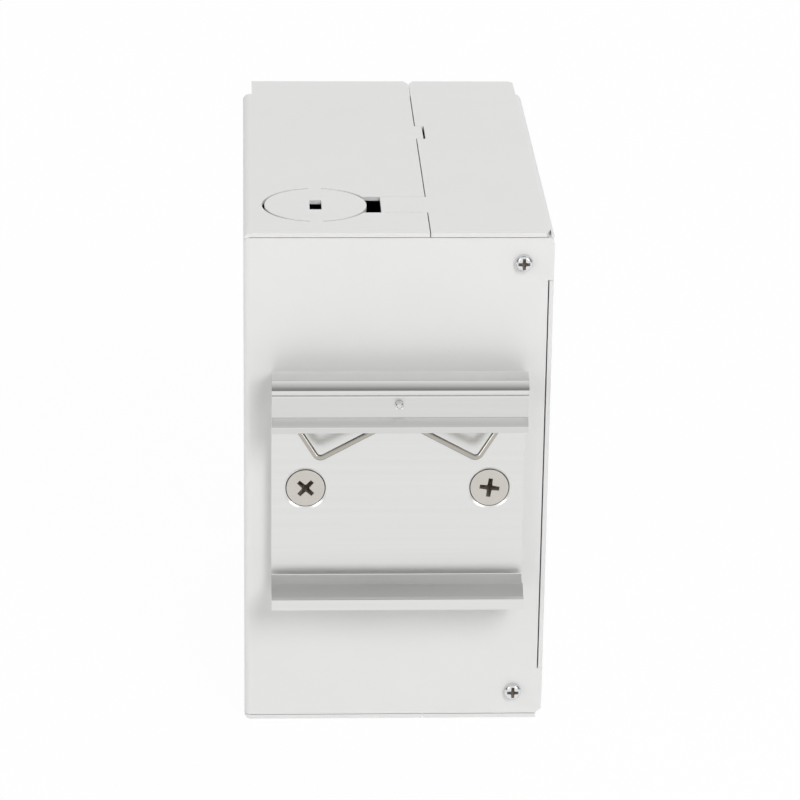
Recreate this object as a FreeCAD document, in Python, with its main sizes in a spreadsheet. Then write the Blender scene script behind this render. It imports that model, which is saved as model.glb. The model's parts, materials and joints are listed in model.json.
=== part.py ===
import FreeCAD, Part
import math
import os
import Sketcher
from FreeCAD import Placement, Rotation, Vector

# Driving dimensions in millimetres and degrees.
# The shell's rear left bottom corner is the zero point of every place below:
# x runs to the right, y from the rear panel towards the adapters, z up.
DIMENSIONS = {
    # box
    "width": 58.0,
    "height": 100.0,
    "depth": 100.0,
    "sheet": 0.8,
    "bend": 1.3,
    "fold_gap": 0.15,
    "slit_gap": 0.25,
    "edge_gap": 0.06,
    "hood_reach": 8.0,
    "hood_inset_left": 1.8,
    "hood_inset_right": 1.1,
    "hood_corner": 0.9,
    "return_width": 8.0,
    # seam between base and cover
    "seam_x": 34.8,
    "seam_gap": 0.2,
    "tab_start": 59.3,
    "tab_length": 8.4,
    "tab_reach": 1.5,
    "tab_end_gap": 0.45,
    "cable_slot_start": 12.2,
    "cable_slot_width": 9.6,
    "tongue_tip_x": 26.1,
    "tongue_gap": 0.15,
    # rear corners, where the panel covers the tabs of the side cover
    "corner_top": 9.3,
    "corner_bottom": 10.6,
    "corner_cut": 1.1,
    "corner_relief": 5.2,
    "cover_tab_width": 9.0,
    "cover_screw_x": 52.3,
    "cover_screw_inset": 5.8,
    # knock-outs
    "knock_x": 13.7,
    "knock_y": 16.9,
    "knock_hole": 20.4,
    "knock_slit": 0.5,
    "knock_tie": 2.4,
    "driver_slot_width": 2.3,
    "driver_slot_length": 5.6,
    # adapter panel
    "panel_sheet": 1.2,
    "panel_gap": 0.4,
    "panel_screw_inset_x": 5.2,
    "panel_screw_inset_z": 6.0,
    "panel_screw_hole": 3.2,
    # duplex adapters
    "adapter_pitch": 14.0,
    "adapter_width": 26.0,
    "adapter_height": 9.3,
    "adapter_rear_length": 13.0,
    "adapter_front_length": 12.4,
    "adapter_flange_width": 36.0,
    "adapter_flange_height": 10.8,
    "adapter_flange": 1.8,
    "adapter_fit": 0.2,
    "adapter_screw_spacing": 31.2,
    "port_pitch": 12.7,
    "port_width": 9.0,
    "port_height": 7.4,
    "port_key_width": 2.2,
    "port_key_depth": 0.55,
    "port_web": 1.6,
    "holder_diameter": 4.4,
    "sleeve_diameter": 3.2,
    "sleeve_bore": 2.5,
    "sleeve_length": 11.4,
    "sleeve_gap": 0.05,
    "cap_gap": 0.15,
    "cap_wall": 0.9,
    "cap_plug": 6.5,
    "cap_head": 3.4,
    "cap_head_width": 11.0,
    "cap_head_height": 8.8,
    # rail clip, with depths measured out from the rear panel
    "clip_x": 29.2,
    "clip_width": 48.0,
    "clip_plate": 2.3,
    "clip_depth": 10.0,
    "clip_top_z": 75.0,
    "clip_shoulder": 6.3,
    "clip_panel_depth": 8.5,
    "clip_wall": 2.0,
    "clip_bevel": 1.2,
    "clip_roof_drop": 2.7,
    "clip_ceiling_drop": 1.9,
    "bead_drop": 0.8,
    "bead_cove": 0.3,
    "bead_height": 1.7,
    "bead_edge": 0.5,
    "rib_set_back": 0.4,
    "rib_edge": 0.3,
    "jaw_slope": 1.2,
    "hook_bevel": 2.3,
    "slot_root": 2.0,
    "upper_lip_z": 63.95,
    "rail_slot": 4.5,
    "lower_lip_z": 31.8,
    "lower_slot_depth": 2.0,
    "clip_bottom_z": 27.5,
    "clip_screw_spacing": 35.0,
    "clip_screw_z": 49.7,
    "clip_screw_thread": 4.0,
    "clip_screw_head": 7.6,
    "clip_screw_length": 8.0,
    "clip_screw_rim": 0.2,
    "clip_recess_arm": 2.0,
    "clip_recess_width": 1.0,
    "screw_clearance": 0.4,
    "countersink_ring": 0.45,
    "clip_nut_flats": 7.0,
    "clip_nut": 3.2,
    # wire spring and its pin
    "wire": 1.1,
    "wire_bend": 1.25,
    "pin": 1.5,
    "pin_x": 29.0,
    "pin_z": 69.3,
    "pin_proud": 1.4,
    "pin_depth": 4.6,
    "pin_gap": 0.1,
    "spring_tilt": 7.0,
    "spring_vee_x": 15.0,
    "spring_vee_drop": 13.8,
    "spring_end_x": 21.4,
    "spring_end_drop": 4.6,
    "spring_loop_x": 1.5,
    "spring_foot_x": 2.3,
    "spring_foot_drop": 6.9,
    # small screws
    "small_thread": 2.0,
    "small_head": 3.4,
    "small_head_height": 1.2,
    "small_length": 4.0,
    "panel_thread": 3.0,
    "panel_head": 5.6,
    "panel_head_height": 2.0,
    "panel_length": 6.0,
    "panel_nut": 6.2,
    "panel_nut_height": 1.6,
    "nut_shank": 4.2,
    "running_gap": 0.1,
    # cross recess of the pan heads as shares of the head's size
    "recess_arm": 0.3,
    "recess_width": 0.14,
    "recess_floor": 0.4,
    # splice tray on the left wall
    "tray_start_y": 30.0,
    "tray_length": 56.0,
    "tray_start_z": 8.0,
    "tray_height": 84.0,
    "tray_floor": 1.4,
    "tray_wall": 1.4,
    "tray_depth": 7.5,
    "tray_corner": 10.0,
    "tray_ear": 9.0,
    "ring_radius": 22.5,
    "ring_gap": 30.0,
    "hook_width": 8.0,
    "hook_nose": 0.8,
    "standoff": 4.5,
    "standoff_diameter": 6.0,
    "standoff_inset": 5.0,
    "comb_length": 26.0,
    "comb_width": 13.0,
    "comb_height": 5.2,
    "comb_groove": 2.4,
    "comb_pitch": 4.0,
    "comb_spacing": 16.0,
    "lid_sheet": 1.0,
    "lid_gap": 0.1,
    # cable anchor
    "anchor_y": 10.0,
    "anchor_z": 62.0,
    "anchor_width": 14.0,
    "anchor_length": 27.0,
    "anchor_sheet": 1.5,
    "anchor_rise": 7.0,
    "anchor_foot": 12.0,
    "tie_slot": 2.5,
    "stud": 4.0,
    "stud_length": 8.0,
}

document = FreeCAD.newDocument("fibre_enclosure")
sheet_object = document.addObject("Spreadsheet::Sheet", "Sizes")
for row, (alias, number) in enumerate(DIMENSIONS.items(), start=1):
    sheet_object.set("A%d" % row, alias)
    sheet_object.set("B%d" % row, repr(number))
    sheet_object.setAlias("B%d" % row, alias)
document.recompute()


class Size:
    """A number together with the sheet expression that gives it."""

    def __init__(self, value, text):
        self.value = float(value)
        self.text = text

    def __add__(self, other):
        other = as_size(other)
        return Size(self.value + other.value, "(%s + %s)" % (self.text, other.text))

    def __radd__(self, other):
        return as_size(other) + self

    def __sub__(self, other):
        other = as_size(other)
        return Size(self.value - other.value, "(%s - %s)" % (self.text, other.text))

    def __rsub__(self, other):
        return as_size(other) - self

    def __mul__(self, other):
        other = as_size(other)
        return Size(self.value * other.value, "(%s * %s)" % (self.text, other.text))

    __rmul__ = __mul__

    def __truediv__(self, other):
        other = as_size(other)
        return Size(self.value / other.value, "(%s / %s)" % (self.text, other.text))

    def __neg__(self):
        return as_size(0) - self


def as_size(number):
    return number if isinstance(number, Size) else Size(number, repr(float(number)))


def dim(alias):
    return Size(getattr(sheet_object, alias), "Sizes." + alias)


WIDTH = dim("width")
HEIGHT = dim("height")
DEPTH = dim("depth")
SHEET = dim("sheet")
BEND = dim("bend")
GAP = dim("fold_gap")
INNER_LOW = SHEET + GAP
INNER_HIGH = HEIGHT - SHEET - GAP
RETURN_FACE = DEPTH - dim("hood_reach")
PANEL_FRONT = RETURN_FACE + dim("panel_sheet")
BASE_END = dim("seam_x") - dim("seam_gap") / 2
COVER_START = dim("seam_x") + dim("seam_gap") / 2
CABLE_SLOT_END = dim("cable_slot_start") + dim("cable_slot_width")
ADAPTER_FRONT = PANEL_FRONT + dim("adapter_front_length")
CAP_FRONT = ADAPTER_FRONT + dim("cap_head")
FRAME_X = -WIDTH / 2
FRAME_Y = (dim("clip_depth") - CAP_FRONT) / 2

# Sketch planes: the sign of the normal along the axis that the plane lacks.
NORMAL = {"XY_Plane": 1, "XZ_Plane": -1, "YZ_Plane": 1}
sub_parts = []


def bind(thing, path, size):
    """Binds a property of an object to its sheet expression."""
    thing.setExpression(path, size.text)


def new_body(name, x=0, y=0, z=0, turn=None, about=(1, 0, 0)):
    """Starts a sub-part; x, y and z move it within the enclosure, turn tilts it."""
    body = document.addObject("PartDesign::Body", name)
    body.Label = name
    bind(body, "Placement.Base.x", FRAME_X + x)
    bind(body, "Placement.Base.y", FRAME_Y + y)
    bind(body, "Placement.Base.z", as_size(z))
    if turn is not None:
        turn = as_size(turn)
        body.Placement = Placement(Vector(), Rotation(Vector(*about), turn.value))
        bind(body, "Placement.Rotation.Angle", turn)
    sub_parts.append(body)
    return body


def origin_plane(body, role):
    return next(feature for feature in body.Origin.OriginFeatures if feature.Role == role)


def new_sketch(body, plane, offset=0):
    """A sketch on one of the body's own planes, moved along its normal."""
    sketch = body.newObject("Sketcher::SketchObject", body.Name + "_sketch")
    sketch.AttachmentSupport = [(origin_plane(body, plane), "")]
    sketch.MapMode = "FlatFace"
    bind(sketch, "AttachmentOffset.Base.z", as_size(offset))
    return sketch


def fix_point(sketch, geometry, end, point):
    """Ties one point of a sketch to the sketch's origin by two sizes."""
    for kind, size in zip(("DistanceX", "DistanceY"), point):
        size = as_size(size)
        index = sketch.addConstraint(Sketcher.Constraint(kind, -1, 1, geometry, end, size.value))
        sketch.setExpression("Constraints[%d]" % index, size.text)


def draw_line_path(sketch, points, closed):
    """Straight segments through the points, each point fixed by its sizes."""
    first = sketch.GeometryCount
    vectors = [Vector(as_size(x).value, as_size(y).value, 0) for x, y in points]
    ends = vectors[1:] + vectors[:1] if closed else vectors[1:]
    for start, end in zip(vectors, ends):
        sketch.addGeometry(Part.LineSegment(start, end))
    count = len(ends)
    for index in range(count - 1):
        sketch.addConstraint(Sketcher.Constraint("Coincident", first + index, 2, first + index + 1, 1))
    if closed:
        sketch.addConstraint(Sketcher.Constraint("Coincident", first + count - 1, 2, first, 1))
    for index, point in enumerate(points[:count]):
        fix_point(sketch, first + index, 1, point)
    if not closed:
        fix_point(sketch, first + count - 1, 2, points[-1])


def polygon(*points):
    return lambda sketch: draw_line_path(sketch, points, True)


def rectangle(x_low, y_low, x_high, y_high):
    return polygon((x_low, y_low), (x_high, y_low), (x_high, y_high), (x_low, y_high))


def octagon(x_low, y_low, x_high, y_high, cut):
    """A rectangle with its corners cut off."""
    return polygon(
        (x_low + cut, y_low), (x_high - cut, y_low), (x_high, y_low + cut), (x_high, y_high - cut),
        (x_high - cut, y_high), (x_low + cut, y_high), (x_low, y_high - cut), (x_low, y_low + cut))


def circle(x, y, diameter):
    def draw(sketch):
        centre = Vector(as_size(x).value, as_size(y).value, 0)
        radius = as_size(diameter) / 2
        index = sketch.addGeometry(Part.Circle(centre, Vector(0, 0, 1), radius.value))
        fix_point(sketch, index, 3, (x, y))
        constraint = sketch.addConstraint(Sketcher.Constraint("Radius", index, radius.value))
        sketch.setExpression("Constraints[%d]" % constraint, radius.text)
    return draw


def hexagon(x, y, flats):
    corner = as_size(flats) / math.sqrt(3)
    half = as_size(flats) / 2
    return polygon(
        (x + corner, y),
        (x + corner / 2, y + half),
        (x - corner / 2, y + half),
        (x - corner, y),
        (x - corner / 2, y - half),
        (x + corner / 2, y - half),
    )


def extrude(body, plane, low, high, *outlines, cut=False):
    """Pads or pockets the outlines between two places along the plane's axis."""
    low = as_size(low)
    high = as_size(high)
    sketch = new_sketch(body, plane, low if NORMAL[plane] > 0 else -high)
    for outline in outlines:
        outline(sketch)
    volume = body.Shape.Volume if body.Tip else 0.0
    feature = body.newObject("PartDesign::Pocket" if cut else "PartDesign::Pad", body.Name + "_step")
    feature.Profile = sketch
    feature.Reversed = cut
    bind(feature, "Length", high - low)
    document.recompute()
    if cut and body.Shape.Volume >= volume:
        raise RuntimeError("a pocket of %s cuts nothing" % body.Label)
    return feature


def revolve(body, outline, cut=False):
    """Turns an outline drawn beside the y axis about that axis."""
    sketch = new_sketch(body, "XY_Plane")
    outline(sketch)
    kind = "PartDesign::Groove" if cut else "PartDesign::Revolution"
    feature = body.newObject(kind, body.Name + "_turned")
    feature.Profile = sketch
    feature.ReferenceAxis = (sketch, ["V_Axis"])
    feature.Angle = 360.0
    document.recompute()
    return feature


def repeat(body, features, x_step=None, z_step=None, x_count=2, z_count=2):
    """Repeats features along x, along z or both, as separate solids."""
    pattern = body.newObject("PartDesign::LinearPattern", body.Name + "_repeat")
    pattern.Originals = features
    sketch = features[0].Profile[0]
    steps = [(axis, step, count) for axis, step, count in (
        ("X", x_step, x_count), ("Z", z_step, z_count)) if step is not None]
    for suffix, (axis, step, count) in zip(("", "2"), steps):
        direction = origin_axis(body, axis)
        setattr(pattern, "Direction" + suffix, (direction, [""]))
        bind(pattern, "Length" + suffix, step * (count - 1))
        setattr(pattern, "Occurrences" + suffix, count)
    body.Tip = pattern
    document.recompute()
    return pattern


def origin_axis(body, letter):
    return next(feature for feature in body.Origin.OriginFeatures if feature.Role == letter + "_Axis")


def edges_where(shape, direction, test):
    """Names of the straight edges along a direction whose middle passes the test."""
    names = []
    for index, edge in enumerate(shape.Edges, start=1):
        if len(edge.Vertexes) != 2 or edge.Curve.TypeId != "Part::GeomLine":
            continue
        run = edge.Vertexes[1].Point - edge.Vertexes[0].Point
        if abs(abs(run.normalize().dot(direction)) - 1) < 1e-6 and test(edge.CenterOfMass):
            names.append("Edge%d" % index)
    return names


def near(value, *sizes):
    return any(abs(value - as_size(size).value) < 1e-4 for size in sizes)


def round_edges(body, radius, direction, test, kind="Fillet"):
    """Rounds or chamfers the straight edges that pass the test."""
    base = body.Tip
    names = edges_where(base.Shape, direction, test)
    if not names:
        raise RuntimeError("no edge to round on %s" % body.Label)
    feature = body.newObject("PartDesign::" + kind, body.Name + "_edge")
    feature.Base = (base, names)
    bind(feature, "Radius" if kind == "Fillet" else "Size", as_size(radius))
    document.recompute()
    return feature


ALONG_X = Vector(1, 0, 0)
ALONG_Y = Vector(0, 1, 0)
ALONG_Z = Vector(0, 0, 1)
FLANGES = ((as_size(0), SHEET), (HEIGHT - SHEET, HEIGHT))


def fold_corners(body, direction, outer, inner):
    """Rounds folds outside and inside so that the sheet keeps its thickness round them."""
    round_edges(body, BEND, direction, outer)
    round_edges(body, BEND - SHEET, direction, inner)


def make_base_shell():
    """Left wall with rear panel, front return and the left part of the flanges."""
    body = new_body("base_shell")
    extrude(body, "XZ_Plane", 0, DEPTH, polygon(
        (0, 0), (BASE_END, 0), (BASE_END, SHEET), (SHEET, SHEET),
        (SHEET, HEIGHT - SHEET), (BASE_END, HEIGHT - SHEET), (BASE_END, HEIGHT), (0, HEIGHT)))
    fold_corners(
        body, ALONG_Y,
        lambda p: near(p.x, 0),
        lambda p: near(p.x, SHEET) and near(p.z, SHEET, HEIGHT - SHEET))
    extrude(body, "XY_Plane", INNER_LOW - GAP / 2, INNER_HIGH + GAP / 2, rectangle(
        0, 0, BEND, BEND + GAP), cut=True)
    extrude(body, "XY_Plane", 0, HEIGHT, rectangle(
        0, RETURN_FACE - BEND - GAP, dim("hood_inset_left"), DEPTH), cut=True)
    return_end = SHEET + dim("return_width")
    extrude(body, "XY_Plane", INNER_LOW, INNER_HIGH, polygon(
        (0, 0), (WIDTH, 0), (WIDTH, SHEET), (SHEET, SHEET),
        (SHEET, RETURN_FACE - SHEET), (return_end, RETURN_FACE - SHEET),
        (return_end, RETURN_FACE), (0, RETURN_FACE)))
    fold_corners(
        body, ALONG_Z,
        lambda p: near(p.x, 0) and near(p.y, 0, RETURN_FACE),
        lambda p: near(p.x, SHEET) and near(p.y, SHEET, RETURN_FACE - SHEET)
        and abs(p.z - HEIGHT.value / 2) < 1)
    # the side cover's wall edge lies in this recess between the rear corners
    extrude(body, "XZ_Plane", 0, SHEET, rectangle(
        WIDTH - SHEET - dim("slit_gap"), dim("corner_bottom"), WIDTH, HEIGHT - dim("corner_top")),
        cut=True)
    cut_corner = dim("corner_cut")
    extrude(
        body, "XZ_Plane", 0, SHEET,
        polygon((WIDTH - cut_corner, INNER_LOW), (WIDTH, INNER_LOW), (WIDTH, INNER_LOW + cut_corner)),
        polygon((WIDTH - cut_corner, HEIGHT), (WIDTH, HEIGHT), (WIDTH, INNER_HIGH - cut_corner)),
        cut=True)
    knock_radius = dim("knock_hole") / 2
    for low, high in FLANGES:
        extrude(body, "XY_Plane", low, high, rectangle(
            BASE_END - SHEET, dim("tab_start"), BASE_END + dim("tab_reach"),
            dim("tab_start") + dim("tab_length")))
        extrude(body, "XY_Plane", low, high, polygon(
            (BASE_END - dim("hood_corner"), DEPTH), (BASE_END, DEPTH),
            (BASE_END, DEPTH - dim("hood_corner") * 2)), cut=True)
        # round knock-out with its two ties and the slot for a screwdriver
        extrude(body, "XY_Plane", low, high, circle(
            dim("knock_x"), dim("knock_y"), dim("knock_hole")), cut=True)
        extrude(body, "XY_Plane", low, high, rectangle(
            dim("knock_x"), dim("cable_slot_start"), BASE_END, CABLE_SLOT_END), cut=True)
        extrude(body, "XY_Plane", low, high, rectangle(
            dim("knock_x") - dim("knock_tie") / 2, dim("knock_y") - knock_radius - GAP,
            dim("knock_x") + dim("knock_tie") / 2, dim("knock_y") + knock_radius + GAP))
        extrude(body, "XY_Plane", low, high, circle(
            dim("knock_x"), dim("knock_y"), dim("knock_hole") - dim("knock_slit") * 2))
        extrude(body, "XY_Plane", low, high, rectangle(
            dim("knock_x") - dim("driver_slot_width") / 2,
            dim("knock_y") - dim("driver_slot_length") / 2,
            dim("knock_x") + dim("driver_slot_width") / 2,
            dim("knock_y") + dim("driver_slot_length") / 2), cut=True)
    clip_hole = dim("clip_screw_thread") + dim("screw_clearance")
    small_hole = dim("small_thread") + dim("running_gap") * 2
    spacing = dim("clip_screw_spacing") / 2
    extrude(
        body, "XZ_Plane", 0, SHEET,
        circle(dim("clip_x") - spacing, dim("clip_screw_z"), clip_hole),
        circle(dim("clip_x") + spacing, dim("clip_screw_z"), clip_hole),
        circle(dim("cover_screw_x"), dim("cover_screw_inset"), small_hole),
        circle(dim("cover_screw_x"), HEIGHT - dim("cover_screw_inset"), small_hole),
        cut=True)
    extrude(
        body, "XZ_Plane", RETURN_FACE - SHEET, RETURN_FACE,
        circle(dim("panel_screw_inset_x"), dim("panel_screw_inset_z"), dim("nut_shank")),
        circle(dim("panel_screw_inset_x"), HEIGHT - dim("panel_screw_inset_z"), dim("nut_shank")),
        cut=True)


def make_side_cover():
    """Right wall with the right part of the flanges, rear tabs and front return."""
    body = new_body("side_cover")
    extrude(body, "XZ_Plane", 0, DEPTH, polygon(
        (COVER_START, 0), (WIDTH, 0), (WIDTH, HEIGHT), (COVER_START, HEIGHT),
        (COVER_START, HEIGHT - SHEET), (WIDTH - SHEET, HEIGHT - SHEET),
        (WIDTH - SHEET, SHEET), (COVER_START, SHEET)))
    fold_corners(
        body, ALONG_Y,
        lambda p: near(p.x, WIDTH),
        lambda p: near(p.x, WIDTH - SHEET) and near(p.z, SHEET, HEIGHT - SHEET))
    tab_face = SHEET + GAP
    tab_end = WIDTH - dim("cover_tab_width")
    extrude(body, "XY_Plane", INNER_LOW - GAP / 2, INNER_HIGH + GAP / 2, rectangle(
        WIDTH - BEND, 0, WIDTH, tab_face + BEND + GAP), cut=True)
    extrude(body, "XY_Plane", 0, HEIGHT, rectangle(
        WIDTH - dim("hood_inset_right"), RETURN_FACE - BEND - GAP, WIDTH, DEPTH), cut=True)
    return_start = WIDTH - SHEET - dim("return_width")
    extrude(body, "XY_Plane", INNER_LOW, INNER_HIGH, polygon(
        (tab_end, tab_face), (WIDTH, tab_face), (WIDTH, RETURN_FACE),
        (return_start, RETURN_FACE), (return_start, RETURN_FACE - SHEET),
        (WIDTH - SHEET, RETURN_FACE - SHEET), (WIDTH - SHEET, tab_face + SHEET),
        (tab_end, tab_face + SHEET)))
    fold_corners(
        body, ALONG_Z,
        lambda p: near(p.x, WIDTH) and near(p.y, tab_face, RETURN_FACE),
        lambda p: near(p.x, WIDTH - SHEET) and near(p.y, tab_face + SHEET, RETURN_FACE - SHEET))
    extrude(body, "XY_Plane", dim("corner_bottom"), HEIGHT - dim("corner_top"), rectangle(
        tab_end, tab_face, WIDTH, tab_face + BEND), cut=True)
    clear = dim("edge_gap")
    extrude(
        body, "XY_Plane", dim("corner_bottom") + clear, HEIGHT - dim("corner_top") - clear,
        rectangle(WIDTH - SHEET, 0, WIDTH, tab_face + BEND + SHEET))
    # relief notches at the ends of the rear folds
    cut_corner = dim("corner_cut")
    extrude(body, "XZ_Plane", 0, dim("corner_relief"), polygon(
        (WIDTH - cut_corner, 0), (WIDTH, 0), (WIDTH, INNER_LOW + cut_corner),
        (WIDTH - cut_corner, INNER_LOW)), cut=True)
    extrude(body, "XY_Plane", HEIGHT - SHEET, HEIGHT, polygon(
        (WIDTH - cut_corner - SHEET / 2, 0), (WIDTH - SHEET + GAP, 0),
        (WIDTH - SHEET + GAP, dim("corner_relief") / 2)), cut=True)
    clear = dim("tongue_gap")
    for low, high in FLANGES:
        extrude(body, "XY_Plane", low, high, rectangle(
            dim("tongue_tip_x"), dim("cable_slot_start") + clear,
            COVER_START + SHEET, CABLE_SLOT_END - clear))
        extrude(body, "XY_Plane", low, high, rectangle(
            COVER_START, dim("tab_start") - clear,
            BASE_END + dim("tab_reach") + dim("tab_end_gap"),
            dim("tab_start") + dim("tab_length") + clear), cut=True)
        extrude(
            body, "XY_Plane", low, high,
            polygon(
                (COVER_START, DEPTH), (COVER_START + dim("hood_corner"), DEPTH),
                (COVER_START, DEPTH - dim("hood_corner") * 2)),
            polygon(
                (WIDTH - dim("hood_inset_right"), DEPTH),
                (WIDTH - dim("hood_inset_right"), DEPTH - dim("hood_corner")),
                (WIDTH - dim("hood_inset_right") - dim("hood_corner"), DEPTH)),
            cut=True)
    tapped = dim("small_thread") + dim("running_gap")
    extrude(
        body, "XZ_Plane", tab_face, tab_face + SHEET,
        circle(dim("cover_screw_x"), dim("cover_screw_inset"), tapped),
        circle(dim("cover_screw_x"), HEIGHT - dim("cover_screw_inset"), tapped),
        cut=True)
    nut_x = WIDTH - dim("panel_screw_inset_x")
    extrude(
        body, "XZ_Plane", RETURN_FACE - SHEET, RETURN_FACE,
        circle(nut_x, dim("panel_screw_inset_z"), dim("nut_shank")),
        circle(nut_x, HEIGHT - dim("panel_screw_inset_z"), dim("nut_shank")),
        cut=True)


ADAPTER_COUNT = 6
ADAPTER_X = WIDTH / 2
ADAPTER_LOW_Z = HEIGHT / 2 - dim("adapter_pitch") * (ADAPTER_COUNT - 1) / 2
PORT_OFFSETS = (-dim("port_pitch") / 2, dim("port_pitch") / 2)


def adapter_z(index):
    return ADAPTER_LOW_Z + dim("adapter_pitch") * index


def make_adapter_panel():
    """Flat front panel with one cut-out and two screw holes for each adapter."""
    body = new_body("adapter_panel")
    extrude(body, "XZ_Plane", RETURN_FACE, PANEL_FRONT, rectangle(
        dim("hood_inset_left") + dim("panel_gap"), SHEET + dim("panel_gap"),
        WIDTH - dim("hood_inset_right") - dim("panel_gap"), HEIGHT - SHEET - dim("panel_gap")))
    half_width = dim("adapter_width") / 2 + dim("adapter_fit")
    half_height = dim("adapter_height") / 2 + dim("adapter_fit")
    holes = []
    for index in range(ADAPTER_COUNT):
        z = adapter_z(index)
        holes.append(rectangle(ADAPTER_X - half_width, z - half_height,
                               ADAPTER_X + half_width, z + half_height))
        for side in (-1, 1):
            holes.append(circle(ADAPTER_X + dim("adapter_screw_spacing") / 2 * side, z,
                                dim("small_thread") + dim("running_gap")))
    for x in (dim("panel_screw_inset_x"), WIDTH - dim("panel_screw_inset_x")):
        for z in (dim("panel_screw_inset_z"), HEIGHT - dim("panel_screw_inset_z")):
            holes.append(circle(x, z, dim("panel_screw_hole")))
    extrude(body, "XZ_Plane", RETURN_FACE, PANEL_FRONT, *holes, cut=True)


def make_adapter(index):
    """Duplex adapter: two through ports, a middle web and four sleeve holders."""
    body = new_body("sc_adapter_%d" % (index + 1), ADAPTER_X, PANEL_FRONT, adapter_z(index))
    half_width = dim("adapter_width") / 2
    half_height = dim("adapter_height") / 2
    rear = -dim("adapter_rear_length")
    front = dim("adapter_front_length")
    web = dim("port_web") / 2
    middle = (front + rear) / 2
    extrude(body, "XZ_Plane", rear, front, rectangle(-half_width, -half_height, half_width, half_height))
    extrude(body, "XZ_Plane", 0, dim("adapter_flange"), rectangle(
        -dim("adapter_flange_width") / 2, -dim("adapter_flange_height") / 2,
        dim("adapter_flange_width") / 2, dim("adapter_flange_height") / 2))
    ports = []
    for offset in PORT_OFFSETS:
        left = offset - dim("port_width") / 2
        right = offset + dim("port_width") / 2
        top = dim("port_height") / 2
        key = dim("port_key_width") / 2
        ports.append(polygon(
            (left, -top), (right, -top), (right, top), (offset + key, top),
            (offset + key, top + dim("port_key_depth")), (offset - key, top + dim("port_key_depth")),
            (offset - key, top), (left, top)))
    extrude(body, "XZ_Plane", middle + web, front, *ports, cut=True)
    extrude(body, "XZ_Plane", rear, middle - web, *ports, cut=True)
    reach = dim("sleeve_length") / 2 + dim("sleeve_gap") * 2
    holders = [circle(offset, 0, dim("holder_diameter")) for offset in PORT_OFFSETS]
    bore = dim("sleeve_diameter") + dim("sleeve_gap") * 2
    bores = [circle(offset, 0, bore) for offset in PORT_OFFSETS]
    extrude(body, "XZ_Plane", middle - reach, middle + reach, *holders)
    extrude(body, "XZ_Plane", middle - reach, middle + reach, *bores, cut=True)
    spacing = dim("adapter_screw_spacing") / 2
    hole = dim("small_thread") + dim("running_gap")
    extrude(
        body, "XZ_Plane", 0, dim("adapter_flange"),
        circle(-spacing, 0, hole), circle(spacing, 0, hole),
        cut=True)


def make_alignment_sleeves():
    """Split sleeves that line up the ferrules, one in the middle of each port."""
    middle = PANEL_FRONT + (dim("adapter_front_length") - dim("adapter_rear_length")) / 2
    body = new_body("alignment_sleeves", ADAPTER_X + PORT_OFFSETS[0], middle, ADAPTER_LOW_Z)
    half = dim("sleeve_length") / 2
    split = dim("sleeve_gap") * 3
    tube = extrude(
        body, "XZ_Plane", -half, half,
        circle(0, 0, dim("sleeve_diameter")), circle(0, 0, dim("sleeve_bore")))
    slit = extrude(body, "XZ_Plane", -half, half, rectangle(
        -split, 0, split, dim("sleeve_diameter")), cut=True)
    repeat(body, [tube, slit], x_step=dim("port_pitch"), z_step=dim("adapter_pitch"),
           z_count=ADAPTER_COUNT)


def build_cap(body, outward):
    """Dust cap at the mouth of a port: a hollow plug and a grip outside it."""
    plug_x = dim("port_width") / 2 - dim("cap_gap")
    plug_z = dim("port_height") / 2 - dim("cap_gap")
    wall = dim("cap_wall")
    head_x = dim("cap_head_width") / 2
    head_z = dim("cap_head_height") / 2

    def reach(low, high):
        return (low, high) if outward else (-as_size(high), -as_size(low))

    plug = extrude(body, "XZ_Plane", *reach(-dim("cap_plug"), dim("cap_head")),
                   rectangle(-plug_x, -plug_z, plug_x, plug_z))
    head = extrude(body, "XZ_Plane", *reach(0, dim("cap_head")),
                   rectangle(-head_x, -head_z, head_x, head_z))
    hollow = extrude(body, "XZ_Plane", *reach(-dim("cap_plug"), 0), rectangle(
        wall - plug_x, wall - plug_z, plug_x - wall, plug_z - wall), cut=True)
    return [plug, head, hollow]


def make_front_caps():
    number = 0
    for index in range(ADAPTER_COUNT):
        for offset in PORT_OFFSETS:
            number += 1
            body = new_body("front_dust_cap_%02d" % number, ADAPTER_X + offset, ADAPTER_FRONT,
                            adapter_z(index))
            build_cap(body, True)
            round_edges(body, dim("cap_wall"), ALONG_Y,
                        lambda p: near(abs(p.x), dim("cap_head_width") / 2))


def make_rear_caps():
    body = new_body("rear_dust_caps", ADAPTER_X + PORT_OFFSETS[0],
                    PANEL_FRONT - dim("adapter_rear_length"), ADAPTER_LOW_Z)
    repeat(body, build_cap(body, False), x_step=dim("port_pitch"), z_step=dim("adapter_pitch"),
           z_count=ADAPTER_COUNT)


CLIP_LEFT = dim("clip_x") - dim("clip_width") / 2
CLIP_RIGHT = dim("clip_x") + dim("clip_width") / 2
SLOT_FACE = dim("clip_plate") + dim("rail_slot")


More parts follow.
